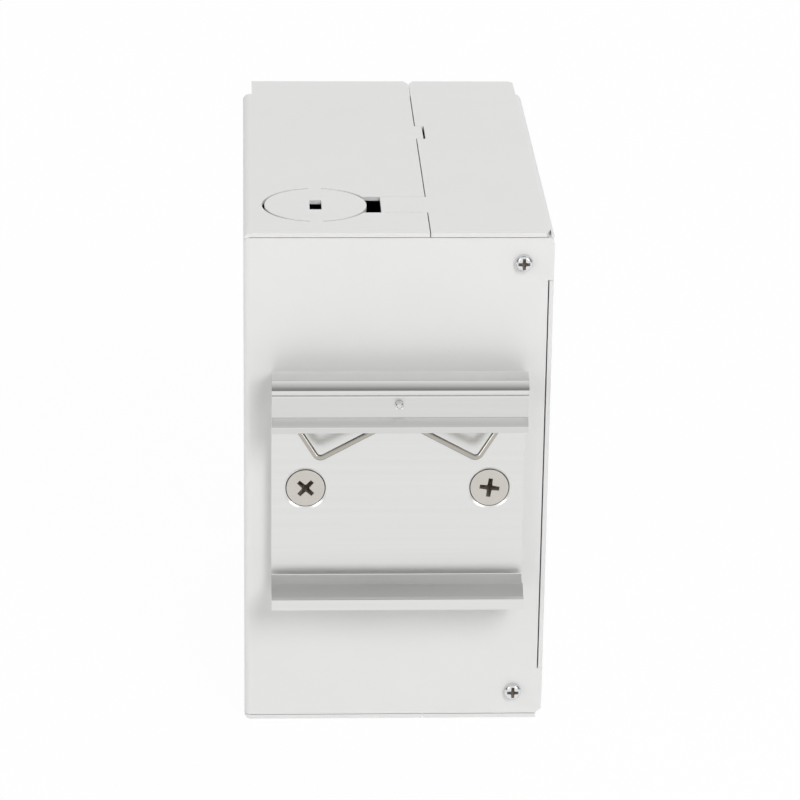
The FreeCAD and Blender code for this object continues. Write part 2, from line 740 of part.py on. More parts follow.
def make_rail_clip():
    """Extruded clip: a plate with a deep upper jaw and a bevelled lower jaw."""
    body = new_body("rail_clip")
    plate = dim("clip_plate")
    depth = dim("clip_depth")
    panel = dim("clip_panel_depth")
    shoulder = dim("clip_shoulder")
    top = dim("clip_top_z")
    bevel = dim("clip_bevel")
    edge = dim("bead_edge")
    cove = dim("bead_cove")
    peak = top - dim("bead_drop")
    height = dim("bead_height")
    bead_low = peak - height
    notch = bead_low - edge * 2
    rib = notch - edge
    set_back = depth - dim("rib_set_back")
    lip = dim("upper_lip_z")
    slope = dim("jaw_slope")
    ceiling = top - dim("clip_wall")
    # the roof falls towards the plate, and the bead is hollow in front
    upper = [
        (0, top - dim("clip_roof_drop")), (shoulder, top), (shoulder + bevel, top - bevel),
        (depth - cove, peak), (depth - cove * 2, peak - height / 3),
        (depth - cove * 2, peak - height * 2 / 3), (depth - cove, bead_low + cove / 2),
        (depth, bead_low), (depth, bead_low - edge), (depth - bevel, notch), (depth - bevel, rib),
        (set_back, rib - dim("rib_edge")), (set_back, rib - dim("rib_edge") * 2),
        (panel, rib - edge * 2), (panel, lip + slope * 2), (depth, lip + slope), (depth, lip),
        (SLOT_FACE, lip), (SLOT_FACE, ceiling), (plate, ceiling - dim("clip_ceiling_drop")),
    ]
    # the slot of the lower jaw has a sloping root
    hook = dim("lower_lip_z")
    hook_face = SLOT_FACE - edge
    floor = hook - dim("lower_slot_depth")
    bevel_low = hook - dim("hook_bevel")
    bottom = dim("clip_bottom_z")
    lower = [
        (plate, hook), (plate + dim("slot_root"), floor), (hook_face, floor), (hook_face, hook),
        (depth - bevel, bevel_low), (set_back, bevel_low - dim("rib_set_back")),
        (set_back, bottom), (0, bottom),
    ]
    extrude(body, "YZ_Plane", CLIP_LEFT, CLIP_RIGHT, polygon(
        *[(-as_size(t), z) for t, z in upper + lower]))
    spacing = dim("clip_screw_spacing") / 2
    hole = dim("clip_screw_thread") + dim("screw_clearance")
    extrude(
        body, "XZ_Plane", -plate, 0,
        circle(dim("clip_x") - spacing, dim("clip_screw_z"), hole),
        circle(dim("clip_x") + spacing, dim("clip_screw_z"), hole),
        cut=True)
    mouth = dim("clip_screw_head") / 2 + dim("countersink_ring")
    sink = mouth - hole / 2
    for side in (-1, 1):
        cone = body.newObject("PartDesign::SubtractiveCone", "rail_clip_countersink")
        cone.AttachmentSupport = [(origin_plane(body, "XZ_Plane"), "")]
        cone.MapMode = "FlatFace"
        bind(cone, "AttachmentOffset.Base.x", dim("clip_x") + spacing * side)
        bind(cone, "AttachmentOffset.Base.y", dim("clip_screw_z"))
        bind(cone, "AttachmentOffset.Base.z", plate - sink)
        bind(cone, "Radius1", hole / 2)
        bind(cone, "Radius2", mouth)
        bind(cone, "Height", sink)
        document.recompute()
    extrude(body, "XZ_Plane", -dim("clip_depth"), -plate, circle(
        dim("pin_x"), dim("pin_z"), dim("pin")), cut=True)


def make_spring_pin():
    """Pin through the upper jaw that the middle of the wire spring hangs on."""
    body = new_body("spring_pin", dim("pin_x"), 0, dim("pin_z"))
    radius = dim("pin") / 2
    tip = -(dim("clip_panel_depth") + dim("pin_proud"))
    crown = radius / 2
    revolve(body, polygon(
        (0, -dim("clip_plate")), (radius, -dim("clip_plate")), (radius, tip + crown),
        (radius - crown, tip), (0, tip)))


SPRING_DEPTH = dim("pin_depth")
SPRING_Z = dim("pin_z") + dim("pin") / 2 + dim("pin_gap") + dim("wire") / 2


def make_rail_spring():
    """Bent wire in a W: its middle loop hangs on the pin, its two vees meet the rail."""
    body = new_body("rail_spring", dim("pin_x"), -SPRING_DEPTH, SPRING_Z,
                    turn=dim("spring_tilt"), about=(-1, 0, 0))
    half = [
        (dim("spring_loop_x"), as_size(0)),
        (dim("spring_foot_x"), -dim("spring_foot_drop")),
        (dim("spring_vee_x"), -dim("spring_vee_drop")),
        (dim("spring_end_x"), -dim("spring_end_drop")),
    ]
    points = [(-x, z) for x, z in reversed(half)] + half
    path = new_sketch(body, "XZ_Plane")
    draw_line_path(path, points, False)
    for corner in range(len(points) - 2):
        path.fillet(corner, 2, dim("wire_bend").value, True, True)
        arc = max(
            index for index, line in enumerate(path.Geometry) if line.TypeId == "Part::GeomArcOfCircle")
        index = path.addConstraint(Sketcher.Constraint("Radius", arc, dim("wire_bend").value))
        path.setExpression("Constraints[%d]" % index, dim("wire_bend").text)
    document.recompute()
    profile = body.newObject("Sketcher::SketchObject", "rail_spring_section")
    profile.AttachmentSupport = [(path, "Edge1"), (path, "Vertex1")]
    profile.MapMode = "NormalToEdge"
    circle(0, 0, dim("wire"))(profile)
    wire = body.newObject("PartDesign::AdditivePipe", "rail_spring_wire")
    wire.Profile = profile
    wire.Spine = (path, ["Edge%d" % (index + 1) for index in range(len(path.Shape.Edges))])
    document.recompute()


def cross(arm, width):
    arm = as_size(arm)
    half = as_size(width) / 2
    return polygon(
        (half, half), (half, arm), (-half, arm), (-half, half), (-arm, half), (-arm, -half),
        (-half, -half), (-half, -arm), (half, -arm), (half, -half), (arm, -half), (arm, half))


def make_clip_screws():
    """Countersunk cross-recessed screws that hold the rail clip."""
    spacing = dim("clip_screw_spacing")
    body = new_body("clip_screws", dim("clip_x") - spacing / 2, -dim("clip_plate"), dim("clip_screw_z"))
    head = dim("clip_screw_head") / 2
    shank = dim("clip_screw_thread") / 2
    rim = dim("clip_screw_rim")
    turned = revolve(body, polygon(
        (0, 0), (head - rim / 2, 0), (head - rim / 2, rim), (shank, rim + head - rim / 2 - shank),
        (shank, dim("clip_screw_length")), (0, dim("clip_screw_length"))))
    arm = dim("clip_recess_arm")
    recess = extrude(body, "XZ_Plane", 0, arm, cross(arm, dim("clip_recess_width")), cut=True)
    repeat(body, [turned, recess], x_step=spacing)


def make_clip_nuts():
    """Hexagon nuts inside the box, on the clip's two screws."""
    spacing = dim("clip_screw_spacing")
    body = new_body("clip_nuts", dim("clip_x") - spacing / 2, SHEET, dim("clip_screw_z"))
    nut = extrude(
        body, "XZ_Plane", 0, dim("clip_nut"), hexagon(as_size(0), as_size(0), dim("clip_nut_flats")),
        circle(0, 0, dim("clip_screw_thread") + dim("running_gap")))
    repeat(body, [nut], x_step=spacing)


def pan_screw(body, head, head_height, thread, length, outward):
    """Pan head and shank along y, head on the side that outward names."""
    side = as_size(outward)
    edge = head_height / 2
    turned = revolve(body, polygon(
        (0, side * head_height), (head / 2 - edge, side * head_height), (head / 2, side * edge),
        (head / 2, 0), (thread / 2, 0), (thread / 2, -side * length), (0, -side * length)))
    floor = head_height * dim("recess_floor")
    low, high = (floor, head_height) if outward > 0 else (-head_height, -floor)
    recess = extrude(body, "XZ_Plane", low, high, cross(
        head * dim("recess_arm"), head * dim("recess_width")), cut=True)
    return [turned, recess]


def make_cover_screws():
    body = new_body("cover_screws", dim("cover_screw_x"), 0, dim("cover_screw_inset"))
    made = pan_screw(body, dim("small_head"), dim("small_head_height"), dim("small_thread"),
                     dim("small_length"), -1)
    repeat(body, made, z_step=HEIGHT - dim("cover_screw_inset") * 2)


def make_panel_screws():
    body = new_body("panel_screws", dim("panel_screw_inset_x"), PANEL_FRONT, dim("panel_screw_inset_z"))
    made = pan_screw(body, dim("panel_head"), dim("panel_head_height"), dim("panel_thread"),
                     dim("panel_length"), 1)
    repeat(body, made, x_step=WIDTH - dim("panel_screw_inset_x") * 2,
           z_step=HEIGHT - dim("panel_screw_inset_z") * 2)


def make_panel_nuts():
    """Press-in nuts behind the returns, their shanks in the sheet."""
    body = new_body("panel_nuts", dim("panel_screw_inset_x"), RETURN_FACE - SHEET,
                    dim("panel_screw_inset_z"))
    bore = dim("panel_thread") + dim("running_gap")
    nut = extrude(body, "XZ_Plane", -dim("panel_nut_height"), 0,
                  circle(0, 0, dim("panel_nut")), circle(0, 0, bore))
    shank = extrude(body, "XZ_Plane", 0, SHEET, circle(0, 0, dim("nut_shank")), circle(0, 0, bore))
    repeat(body, [nut, shank], x_step=WIDTH - dim("panel_screw_inset_x") * 2,
           z_step=HEIGHT - dim("panel_screw_inset_z") * 2)


def make_adapter_screws():
    spacing = dim("adapter_screw_spacing")
    body = new_body("adapter_screws", ADAPTER_X - spacing / 2, PANEL_FRONT + dim("adapter_flange"),
                    ADAPTER_LOW_Z)
    made = pan_screw(body, dim("small_head"), dim("small_head_height"), dim("small_thread"),
                     dim("small_length"), 1)
    repeat(body, made, x_step=spacing, z_step=dim("adapter_pitch"), z_count=ADAPTER_COUNT)


TRAY_FLOOR_X = SHEET + dim("standoff")
TRAY_END_Y = dim("tray_start_y") + dim("tray_length")
TRAY_END_Z = dim("tray_start_z") + dim("tray_height")
TRAY_RIM_X = TRAY_FLOOR_X + dim("tray_depth")
TRAY_MIDDLE_Y = (dim("tray_start_y") + TRAY_END_Y) / 2
TRAY_MIDDLE_Z = (dim("tray_start_z") + TRAY_END_Z) / 2
RIM_LOW_Z = dim("tray_start_z") + dim("tray_ear")
RIM_HIGH_Z = TRAY_END_Z - dim("tray_ear")


def make_tray_standoffs():
    """Round posts between the left wall and the corners of the tray."""
    inset = dim("standoff_inset")
    body = new_body("tray_standoffs")
    bore = dim("panel_thread") + dim("running_gap")
    posts = []
    for y in (dim("tray_start_y") + inset, TRAY_END_Y - inset):
        for z in (dim("tray_start_z") + inset, TRAY_END_Z - inset):
            posts.append(circle(y, z, dim("standoff_diameter")))
            posts.append(circle(y, z, bore))
    extrude(body, "YZ_Plane", SHEET, TRAY_FLOOR_X, *posts)


def make_splice_tray():
    """Tray with a rim cut at its corners, a split winding ring, lid hooks and corner screw holes."""
    body = new_body("splice_tray")
    inset = dim("standoff_inset")
    wall = dim("tray_wall")
    floor_top = TRAY_FLOOR_X + dim("tray_floor")
    low_y = dim("tray_start_y")
    low_z = dim("tray_start_z")
    extrude(body, "YZ_Plane", TRAY_FLOOR_X, floor_top, rectangle(low_y, low_z, TRAY_END_Y, TRAY_END_Z))
    corner = dim("tray_corner")
    extrude(body, "YZ_Plane", floor_top, TRAY_RIM_X, octagon(
        low_y, RIM_LOW_Z, TRAY_END_Y, RIM_HIGH_Z, corner))
    extrude(body, "YZ_Plane", floor_top, TRAY_RIM_X, octagon(
        low_y + wall, RIM_LOW_Z + wall, TRAY_END_Y - wall, RIM_HIGH_Z - wall,
        corner - wall * (2 - math.sqrt(2))), cut=True)
    ring = dim("ring_radius")
    extrude(body, "YZ_Plane", floor_top, TRAY_RIM_X - wall,
            circle(TRAY_MIDDLE_Y, TRAY_MIDDLE_Z, ring * 2),
            circle(TRAY_MIDDLE_Y, TRAY_MIDDLE_Z, (ring - wall) * 2))
    # fibres pass through these gaps between the ring's halves and in the rim
    gap = dim("ring_gap") / 2
    extrude(
        body, "YZ_Plane", floor_top, TRAY_RIM_X,
        rectangle(low_y, TRAY_MIDDLE_Z - gap, TRAY_MIDDLE_Y - ring / 2, TRAY_MIDDLE_Z + gap),
        rectangle(TRAY_MIDDLE_Y + ring / 2, TRAY_MIDDLE_Z - gap,
                  TRAY_END_Y - wall * 2, TRAY_MIDDLE_Z + gap),
        cut=True)
    hook = dim("hook_width") / 2
    lid_top = TRAY_RIM_X + dim("lid_sheet") + dim("lid_gap") * 2
    nose = wall + dim("hook_nose")
    for outer, inward in ((RIM_LOW_Z, 1), (RIM_HIGH_Z, -1)):
        low, high = sorted((outer, outer + wall * inward), key=lambda size: size.value)
        extrude(body, "YZ_Plane", TRAY_RIM_X, lid_top, rectangle(
            TRAY_MIDDLE_Y - hook, low, TRAY_MIDDLE_Y + hook, high))
        low, high = sorted((outer, outer + nose * inward), key=lambda size: size.value)
        extrude(body, "YZ_Plane", lid_top, lid_top + dim("hook_nose"), rectangle(
            TRAY_MIDDLE_Y - hook, low, TRAY_MIDDLE_Y + hook, high))
    holes = [circle(y, z, dim("panel_screw_hole"))
             for y in (low_y + inset, TRAY_END_Y - inset)
             for z in (low_z + inset, TRAY_END_Z - inset)]
    extrude(body, "YZ_Plane", TRAY_FLOOR_X, floor_top, *holes, cut=True)


def make_tray_lid():
    """Clear lid that lies on the rim under two hooks."""
    body = new_body("splice_tray_lid")
    low = TRAY_RIM_X + dim("lid_gap")
    high = low + dim("lid_sheet")
    low_y = dim("tray_start_y")
    notch = dim("hook_width") / 2 + dim("tongue_gap")
    deep = dim("tray_wall") + dim("tongue_gap")
    extrude(body, "YZ_Plane", low, high, octagon(
        low_y, RIM_LOW_Z, TRAY_END_Y, RIM_HIGH_Z, dim("tray_corner")))
    extrude(
        body, "YZ_Plane", low, high,
        rectangle(TRAY_MIDDLE_Y - notch, RIM_LOW_Z, TRAY_MIDDLE_Y + notch, RIM_LOW_Z + deep),
        rectangle(TRAY_MIDDLE_Y - notch, RIM_HIGH_Z - deep, TRAY_MIDDLE_Y + notch, RIM_HIGH_Z),
        cut=True)


def make_splice_comb(number, z):
    """Block with open grooves, one for each pair of splice protectors."""
    body = new_body("splice_comb_%d" % number, TRAY_FLOOR_X + dim("tray_floor"), TRAY_MIDDLE_Y, z)
    length = dim("comb_length") / 2
    width = dim("comb_width") / 2
    height = dim("comb_height")
    extrude(body, "YZ_Plane", 0, height, rectangle(-length, -width, length, width))
    grooves = [
        rectangle(-length, dim("comb_pitch") * place - dim("comb_groove") / 2,
                  length, dim("comb_pitch") * place + dim("comb_groove") / 2)
        for place in (-1, 0, 1)
    ]
    extrude(body, "YZ_Plane", dim("tray_floor"), height, *grooves, cut=True)


def make_tray_screws():
    inset = dim("standoff_inset")
    body = new_body("tray_screws", TRAY_FLOOR_X + dim("tray_floor"), TRAY_END_Y - inset,
                    dim("tray_start_z") + inset, turn=90, about=(0, 0, -1))
    made = pan_screw(body, dim("panel_head"), dim("panel_head_height"), dim("panel_thread"),
                     dim("standoff"), 1)
    repeat(body, made, x_step=dim("tray_length") - inset * 2, z_step=dim("tray_height") - inset * 2)


ANCHOR_STUD_Y = dim("anchor_y") + dim("anchor_width") / 2
ANCHOR_STUD_Z = dim("anchor_z") + dim("anchor_foot") / 2


def make_cable_anchor():
    """Stepped bracket beside the cable entry, with two slots for a cable tie."""
    body = new_body("cable_anchor")
    sheet = dim("anchor_sheet")
    low_y = dim("anchor_y")
    high_y = low_y + dim("anchor_width")
    low_z = dim("anchor_z")
    knee = low_z + dim("anchor_foot")
    leg = SHEET + dim("anchor_rise")
    top = low_z + dim("anchor_length")
    extrude(body, "XZ_Plane", low_y, high_y, polygon(
        (SHEET, low_z), (SHEET + sheet, low_z), (SHEET + sheet, knee - sheet), (leg, knee - sheet),
        (leg, top), (leg - sheet, top), (leg - sheet, knee), (SHEET, knee)))
    round_edges(body, sheet, ALONG_Y,
                lambda p: (near(p.x, SHEET) and near(p.z, knee))
                or (near(p.x, leg) and near(p.z, knee - sheet)))
    extrude(body, "YZ_Plane", SHEET, SHEET + sheet, circle(
        ANCHOR_STUD_Y, ANCHOR_STUD_Z, dim("stud") + dim("screw_clearance")), cut=True)
    slot = dim("tie_slot")
    middle = (knee + top) / 2
    extrude(
        body, "YZ_Plane", leg - sheet, leg,
        rectangle(low_y + slot, middle - slot, low_y + slot * 2, middle + slot),
        rectangle(high_y - slot * 2, middle - slot, high_y - slot, middle + slot),
        cut=True)


def make_anchor_stud():
    body = new_body("anchor_stud")
    extrude(body, "YZ_Plane", SHEET, SHEET + dim("stud_length"),
            circle(ANCHOR_STUD_Y, ANCHOR_STUD_Z, dim("stud")))


def make_anchor_nut():
    body = new_body("anchor_nut")
    low = SHEET + dim("anchor_sheet")
    extrude(body, "YZ_Plane", low, low + dim("clip_nut"),
            hexagon(ANCHOR_STUD_Y, ANCHOR_STUD_Z, dim("clip_nut_flats")),
            circle(ANCHOR_STUD_Y, ANCHOR_STUD_Z, dim("stud") + dim("running_gap")))


for make in (
    make_base_shell,
    make_side_cover,
    make_adapter_panel,
    make_rail_clip,
    make_spring_pin,
    make_rail_spring,
    make_clip_screws,
    make_clip_nuts,
    make_cover_screws,
    make_panel_screws,
    make_panel_nuts,
    make_adapter_screws,
    make_alignment_sleeves,
    make_front_caps,
    make_rear_caps,
    make_tray_standoffs,
    make_splice_tray,
    make_tray_lid,
    make_tray_screws,
    make_cable_anchor,
    make_anchor_stud,
    make_anchor_nut,
):
    make()
for comb_number, comb_side in ((1, -1), (2, 1)):
    make_splice_comb(comb_number, TRAY_MIDDLE_Z + dim("comb_spacing") / 2 * comb_side)
for adapter_index in range(ADAPTER_COUNT):
    make_adapter(adapter_index)

document.recompute()
for item in document.Objects:
    if "Invalid" in item.State or "Error" in item.State:
        raise RuntimeError("%s did not recompute: %s" % (item.Name, item.State))
os.makedirs("parts", exist_ok=True)
for sub_part in sub_parts:
    shape = sub_part.Shape
    if shape.isNull() or not shape.isValid():
        raise RuntimeError("%s has no valid shape" % sub_part.Label)
    shape.exportStep("parts/%s.step" % sub_part.Label)
    print("%-20s solids %2d volume %10.2f" % (sub_part.Label, len(shape.Solids), shape.Volume))
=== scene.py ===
import json
import math

import bmesh
import bpy
from bpy.props import FloatProperty, FloatVectorProperty, PointerProperty
from mathutils import Matrix, Vector
from mathutils.geometry import tessellate_polygon


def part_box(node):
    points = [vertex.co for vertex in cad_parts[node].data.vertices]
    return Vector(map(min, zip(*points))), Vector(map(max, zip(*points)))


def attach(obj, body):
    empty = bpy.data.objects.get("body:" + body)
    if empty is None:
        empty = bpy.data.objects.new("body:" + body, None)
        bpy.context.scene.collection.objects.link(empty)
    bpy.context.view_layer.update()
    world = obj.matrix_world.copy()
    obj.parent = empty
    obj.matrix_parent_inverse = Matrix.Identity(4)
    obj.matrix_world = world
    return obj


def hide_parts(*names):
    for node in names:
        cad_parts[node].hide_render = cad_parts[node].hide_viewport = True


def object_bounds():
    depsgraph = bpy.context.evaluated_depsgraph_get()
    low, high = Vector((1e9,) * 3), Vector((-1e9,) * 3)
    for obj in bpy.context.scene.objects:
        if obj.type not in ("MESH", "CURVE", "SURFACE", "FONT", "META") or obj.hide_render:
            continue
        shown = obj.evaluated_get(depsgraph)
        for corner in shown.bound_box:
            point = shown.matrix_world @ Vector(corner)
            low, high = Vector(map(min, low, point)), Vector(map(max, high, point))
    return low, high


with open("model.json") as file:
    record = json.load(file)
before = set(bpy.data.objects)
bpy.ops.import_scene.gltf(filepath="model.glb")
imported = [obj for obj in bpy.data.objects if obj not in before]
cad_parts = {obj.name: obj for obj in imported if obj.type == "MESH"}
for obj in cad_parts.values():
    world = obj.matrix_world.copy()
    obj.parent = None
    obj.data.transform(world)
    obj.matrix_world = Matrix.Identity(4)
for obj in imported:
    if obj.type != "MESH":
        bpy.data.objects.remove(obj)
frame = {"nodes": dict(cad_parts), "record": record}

bl_info = {
    "name": "Rail-mounted fibre enclosure",
    "version": (1, 0, 0),
    "blender": (4, 5, 0),
    "location": "3D View > Sidebar > Enclosure",
    "description": "Finishes and detailed pieces of a sheet-metal fibre box with a rail clip",
    "category": "Add Mesh",
}

CAD_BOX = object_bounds()
BOX_BODY = "enclosure"
SPRING_BODY = "spring"
ADAPTERS = ["sc_adapter_%d" % number for number in range(1, 7)]
FRONT_CAPS = ["front_dust_cap_%02d" % number for number in range(1, 13)]


def node_corners(node):
    """Lowest and highest corner of a CAD node's box."""
    low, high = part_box(node)
    return Vector(low), Vector(high)


def node_size(node):
    """Width, depth and height of a CAD node."""
    low, high = node_corners(node)
    return high - low


def node_middle(node):
    low, high = node_corners(node)
    return (high + low) / 2


# Settings


class EnclosureShellSettings(bpy.types.PropertyGroup):
    """Powder coat of the folded sheets."""

    colour: FloatVectorProperty(
        name="Coat colour", description="Colour of the powder coat", subtype="COLOR",
        size=3, min=0, max=1, default=(0.80, 0.80, 0.79))
    roughness: FloatProperty(
        name="Coat roughness", description="How dull the powder coat is", subtype="FACTOR",
        min=0, max=1, default=0.48)
    edge: FloatProperty(
        name="Edge round", description="Rounding of the cut sheet edges", subtype="DISTANCE",
        unit="LENGTH", min=0, default=0.00012)


class EnclosureClipSettings(bpy.types.PropertyGroup):
    """Rail clip, its wire spring, pin and screws."""

    colour: FloatVectorProperty(
        name="Aluminium colour", description="Colour of the extruded clip", subtype="COLOR",
        size=3, min=0, max=1, default=(0.78, 0.78, 0.77))
    roughness: FloatProperty(
        name="Aluminium roughness", description="How satin the clip is", subtype="FACTOR",
        min=0, max=1, default=0.31)
    edge: FloatProperty(
        name="Clip edge round", description="Rounding of the extrusion's edges",
        subtype="DISTANCE", unit="LENGTH", min=0, default=0.00016)
    wire: FloatProperty(
        name="Wire", description="Thickness of the spring wire", subtype="DISTANCE",
        unit="LENGTH", min=0.0001, default=0.0011)
    tilt: FloatProperty(
        name="Spring tilt", description="Lean of the spring out of the plate",
        subtype="ANGLE", unit="ROTATION", default=math.radians(7))
    screw_head: FloatProperty(
        name="Clip screw head", description="Diameter of the countersunk heads",
        subtype="DISTANCE", unit="LENGTH", min=0.001, default=node_size("clip_screws").z)


class EnclosureFrontSettings(bpy.types.PropertyGroup):
    """Adapters and dust caps."""

    adapter_colour: FloatVectorProperty(
        name="Adapter colour", description="Colour of the moulded adapters", subtype="COLOR",
        size=3, min=0, max=1, default=(0.03, 0.13, 0.42))
    cap_colour: FloatVectorProperty(
        name="Cap colour", description="Colour of the dust caps", subtype="COLOR",
        size=3, min=0, max=1, default=(0.72, 0.73, 0.73))


class EnclosureStageSettings(bpy.types.PropertyGroup):
    """Camera, light and floor."""

    focal_length: FloatProperty(
        name="Focal length", description="Lens of the camera in millimetres", min=1,
        default=163.71)
    camera_place: FloatVectorProperty(
        name="Camera place", description="Where the camera stands", subtype="TRANSLATION",
        unit="LENGTH", size=3, default=(-0.028803, -0.689488, 0.316606))
    camera_pitch: FloatProperty(
        name="Camera pitch", description="How far the camera looks down", subtype="ANGLE",
        unit="ROTATION", default=math.radians(21.3052))
    camera_yaw: FloatProperty(
        name="Camera yaw", description="How far the camera looks to the right",
        subtype="ANGLE", unit="ROTATION", default=math.radians(2.6235))
    camera_roll: FloatProperty(
        name="Camera roll", description="How far the camera leans", subtype="ANGLE",
        unit="ROTATION", default=math.radians(0.8113))
    sky: FloatProperty(
        name="Sky level", description="Even light from all round", min=0, default=0.5)
    key_power: FloatProperty(
        name="Key light", description="Power of the large light above", subtype="POWER",
        unit="POWER", min=0, default=9.0)


# Finishes


def fill_ramp(node, stops):
    """Sets a colour ramp node to (position, colour) stops in rising order."""
    ends = node.color_ramp.elements
    for end, (position, colour) in zip((ends[0], ends[1]), (stops[0], stops[-1])):
        end.position = position
        end.color = (*colour, 1.0)
    for position, colour in stops[1:-1]:
        ends.new(position).color = (*colour, 1.0)


class Finish:
    """A node material under construction, with object-space coordinates at hand."""

    def __init__(self, name, colour, roughness, metallic=0.0):
        self.material = bpy.data.materials.new(name)
        self.material.use_nodes = True
        self.material.diffuse_color = (*colour, 1.0)
        self.tree = self.material.node_tree
        self.shader = self.tree.nodes["Principled BSDF"]
        self.colour = colour
        self.roughness = roughness
        self.shader.inputs["Base Color"].default_value = (*colour, 1.0)
        self.shader.inputs["Roughness"].default_value = roughness
        self.shader.inputs["Metallic"].default_value = metallic
        self.place = self.add("ShaderNodeTexCoord").outputs["Object"]

    def add(self, kind):
        return self.tree.nodes.new(kind)

    def join(self, start, end):
        self.tree.links.new(start, end)

    def noise(self, scale, detail=3.0, stretch=None):
        """Noise over the object's own coordinates; stretch draws it out along axes."""
        source = self.place
        if stretch is not None:
            mapping = self.add("ShaderNodeMapping")
            mapping.inputs["Scale"].default_value = stretch
            self.join(source, mapping.inputs["Vector"])
            source = mapping.outputs["Vector"]
        noise = self.add("ShaderNodeTexNoise")
        noise.inputs["Scale"].default_value = scale
        noise.inputs["Detail"].default_value = detail
        self.join(source, noise.inputs["Vector"])
        return noise.outputs["Fac"]

    def vary_colour(self, amount, darker, spread=1.0):
        """Mottles the colour between itself and a darker one."""
        ramp = self.add("ShaderNodeValToRGB")
        shaded = [part * (1.0 - darker) for part in self.colour]
        fill_ramp(ramp, ((0.5 - spread / 4, shaded), (0.5 + spread / 4, self.colour)))
        self.join(amount, ramp.inputs["Fac"])
        self.join(ramp.outputs["Color"], self.shader.inputs["Base Color"])

    def vary_roughness(self, amount, spread):
        span = self.add("ShaderNodeMapRange")
        span.inputs["To Min"].default_value = max(self.roughness - spread, 0.02)
        span.inputs["To Max"].default_value = min(self.roughness + spread, 1.0)
        self.join(amount, span.inputs["Value"])
        self.join(span.outputs["Result"], self.shader.inputs["Roughness"])

    def paint_light_and_shade_by_height(self, painted_light_and_shade):
        """Multiplies the colour by a tone that changes along the object's own Z.

        This paints shade into the colour: it stands in for shading from the lights.
        """
        parts = self.add("ShaderNodeSeparateXYZ")
        self.join(self.place, parts.inputs["Vector"])
        span = self.add("ShaderNodeMapRange")
        lowest, highest = painted_light_and_shade[0][0], painted_light_and_shade[-1][0]
        span.inputs["From Min"].default_value = lowest / 1000
        span.inputs["From Max"].default_value = highest / 1000
        self.join(parts.outputs["Z"], span.inputs["Value"])
        ramp = self.add("ShaderNodeValToRGB")
        fill_ramp(ramp, [((height - lowest) / (highest - lowest), (tone, tone, tone))
                         for height, tone in painted_light_and_shade])
        self.join(span.outputs["Result"], ramp.inputs["Fac"])
        blend = self.add("ShaderNodeMix")
        blend.data_type = "RGBA"
        blend.blend_type = "MULTIPLY"
        blend.inputs["Factor"].default_value = 1.0
        colour = self.shader.inputs["Base Color"]
        self.join(colour.links[0].from_socket, blend.inputs["A"])
        self.join(ramp.outputs["Color"], blend.inputs["B"])
        self.join(blend.outputs["Result"], colour)

    def raise_bumps(self, amount, height, strength=1.0):
        """Adds relief; several calls stack on each other."""
        bump = self.add("ShaderNodeBump")
        bump.inputs["Distance"].default_value = height
        bump.inputs["Strength"].default_value = strength
        self.join(amount, bump.inputs["Height"])
        normal = self.shader.inputs["Normal"]
        if normal.is_linked:
            self.join(normal.links[0].from_socket, bump.inputs["Normal"])
        self.join(bump.outputs["Normal"], normal)


def powder_coat(name, colour, roughness):
    """Satin powder coat: fine peel, faint clouds in colour and gloss."""
    finish = Finish(name, colour, roughness)
    finish.raise_bumps(finish.noise(1400, 2), 0.000035, 0.35)
    finish.raise_bumps(finish.noise(4200, 2), 0.00001, 0.4)
    finish.vary_colour(finish.noise(60, 4), 0.02)
    finish.vary_roughness(finish.noise(500, 3), 0.06)
    return finish.material


def extruded_metal(name, colour, roughness, painted_light_and_shade):
    """Extruded aluminium with die lines along X and painted shade and painted light for each band
    of its height.
    """
    finish = Finish(name, colour, roughness, 1.0)
    lines = finish.noise(1.0, 3, (9, 2600, 2600))
    finish.raise_bumps(lines, 0.000012, 0.35)
    finish.raise_bumps(finish.noise(900, 2), 0.00001, 0.25)
    finish.vary_colour(finish.noise(1.0, 3, (14, 900, 900)), 0.04)
    finish.vary_roughness(lines, 0.07)
    finish.paint_light_and_shade_by_height(painted_light_and_shade)
    return finish.material


def bright_metal(name, colour, roughness, grain=1.0):
    """Plated or drawn metal with a fine grain and slight clouding."""
    finish = Finish(name, colour, roughness, 1.0)
    finish.raise_bumps(finish.noise(1600 * grain, 3), 0.000012, 0.3)
    finish.vary_colour(finish.noise(220, 3), 0.06)
    finish.vary_roughness(finish.noise(700, 3), 0.05)
    return finish.material


def moulded_plastic(name, colour, roughness):
    """Moulded plastic with a fine spark-eroded grain and soft flow marks."""
    finish = Finish(name, colour, roughness)
    finish.raise_bumps(finish.noise(2600, 2), 0.00001, 0.35)
    finish.raise_bumps(finish.noise(180, 2), 0.00003, 0.12)
    finish.vary_colour(finish.noise(90, 4), 0.07)
    finish.vary_roughness(finish.noise(400, 3), 0.06)
    return finish.material


def clear_plastic(name, colour):
    finish = Finish(name, colour, 0.12)
    finish.shader.inputs["Transmission Weight"].default_value = 0.92
    finish.shader.inputs["IOR"].default_value = 1.49
    finish.raise_bumps(finish.noise(120, 2), 0.00003, 0.1)
    finish.vary_colour(finish.noise(60, 2), 0.03)
    finish.vary_roughness(finish.noise(300, 3), 0.05)
    return finish.material


def finish_of(name, make, *values):
    """The finish of that name, made on first use."""
    name += "_finish"
    return bpy.data.materials.get(name) or make(name, *values)


def recess_shade():
    return finish_of("recess_shade", moulded_plastic, (0.2, 0.165, 0.135), 0.4)


def zinc_plate():
    return finish_of("zinc_plate", bright_metal, (0.76, 0.77, 0.78), 0.24)


# Shapes

WELD_DISTANCE = 1e-7
BEVEL_ANGLE = math.radians(35)


def dress(node, material, edge=0.0, segments=2):
    """Gives a CAD node its finish and, where edge is set, rounded edges."""
    item = frame["nodes"][node]
    for place in item.material_slots:
        place.material = material
    if not item.material_slots:
        item.data.materials.append(material)
    if edge:
        round_edges(item, edge, segments)


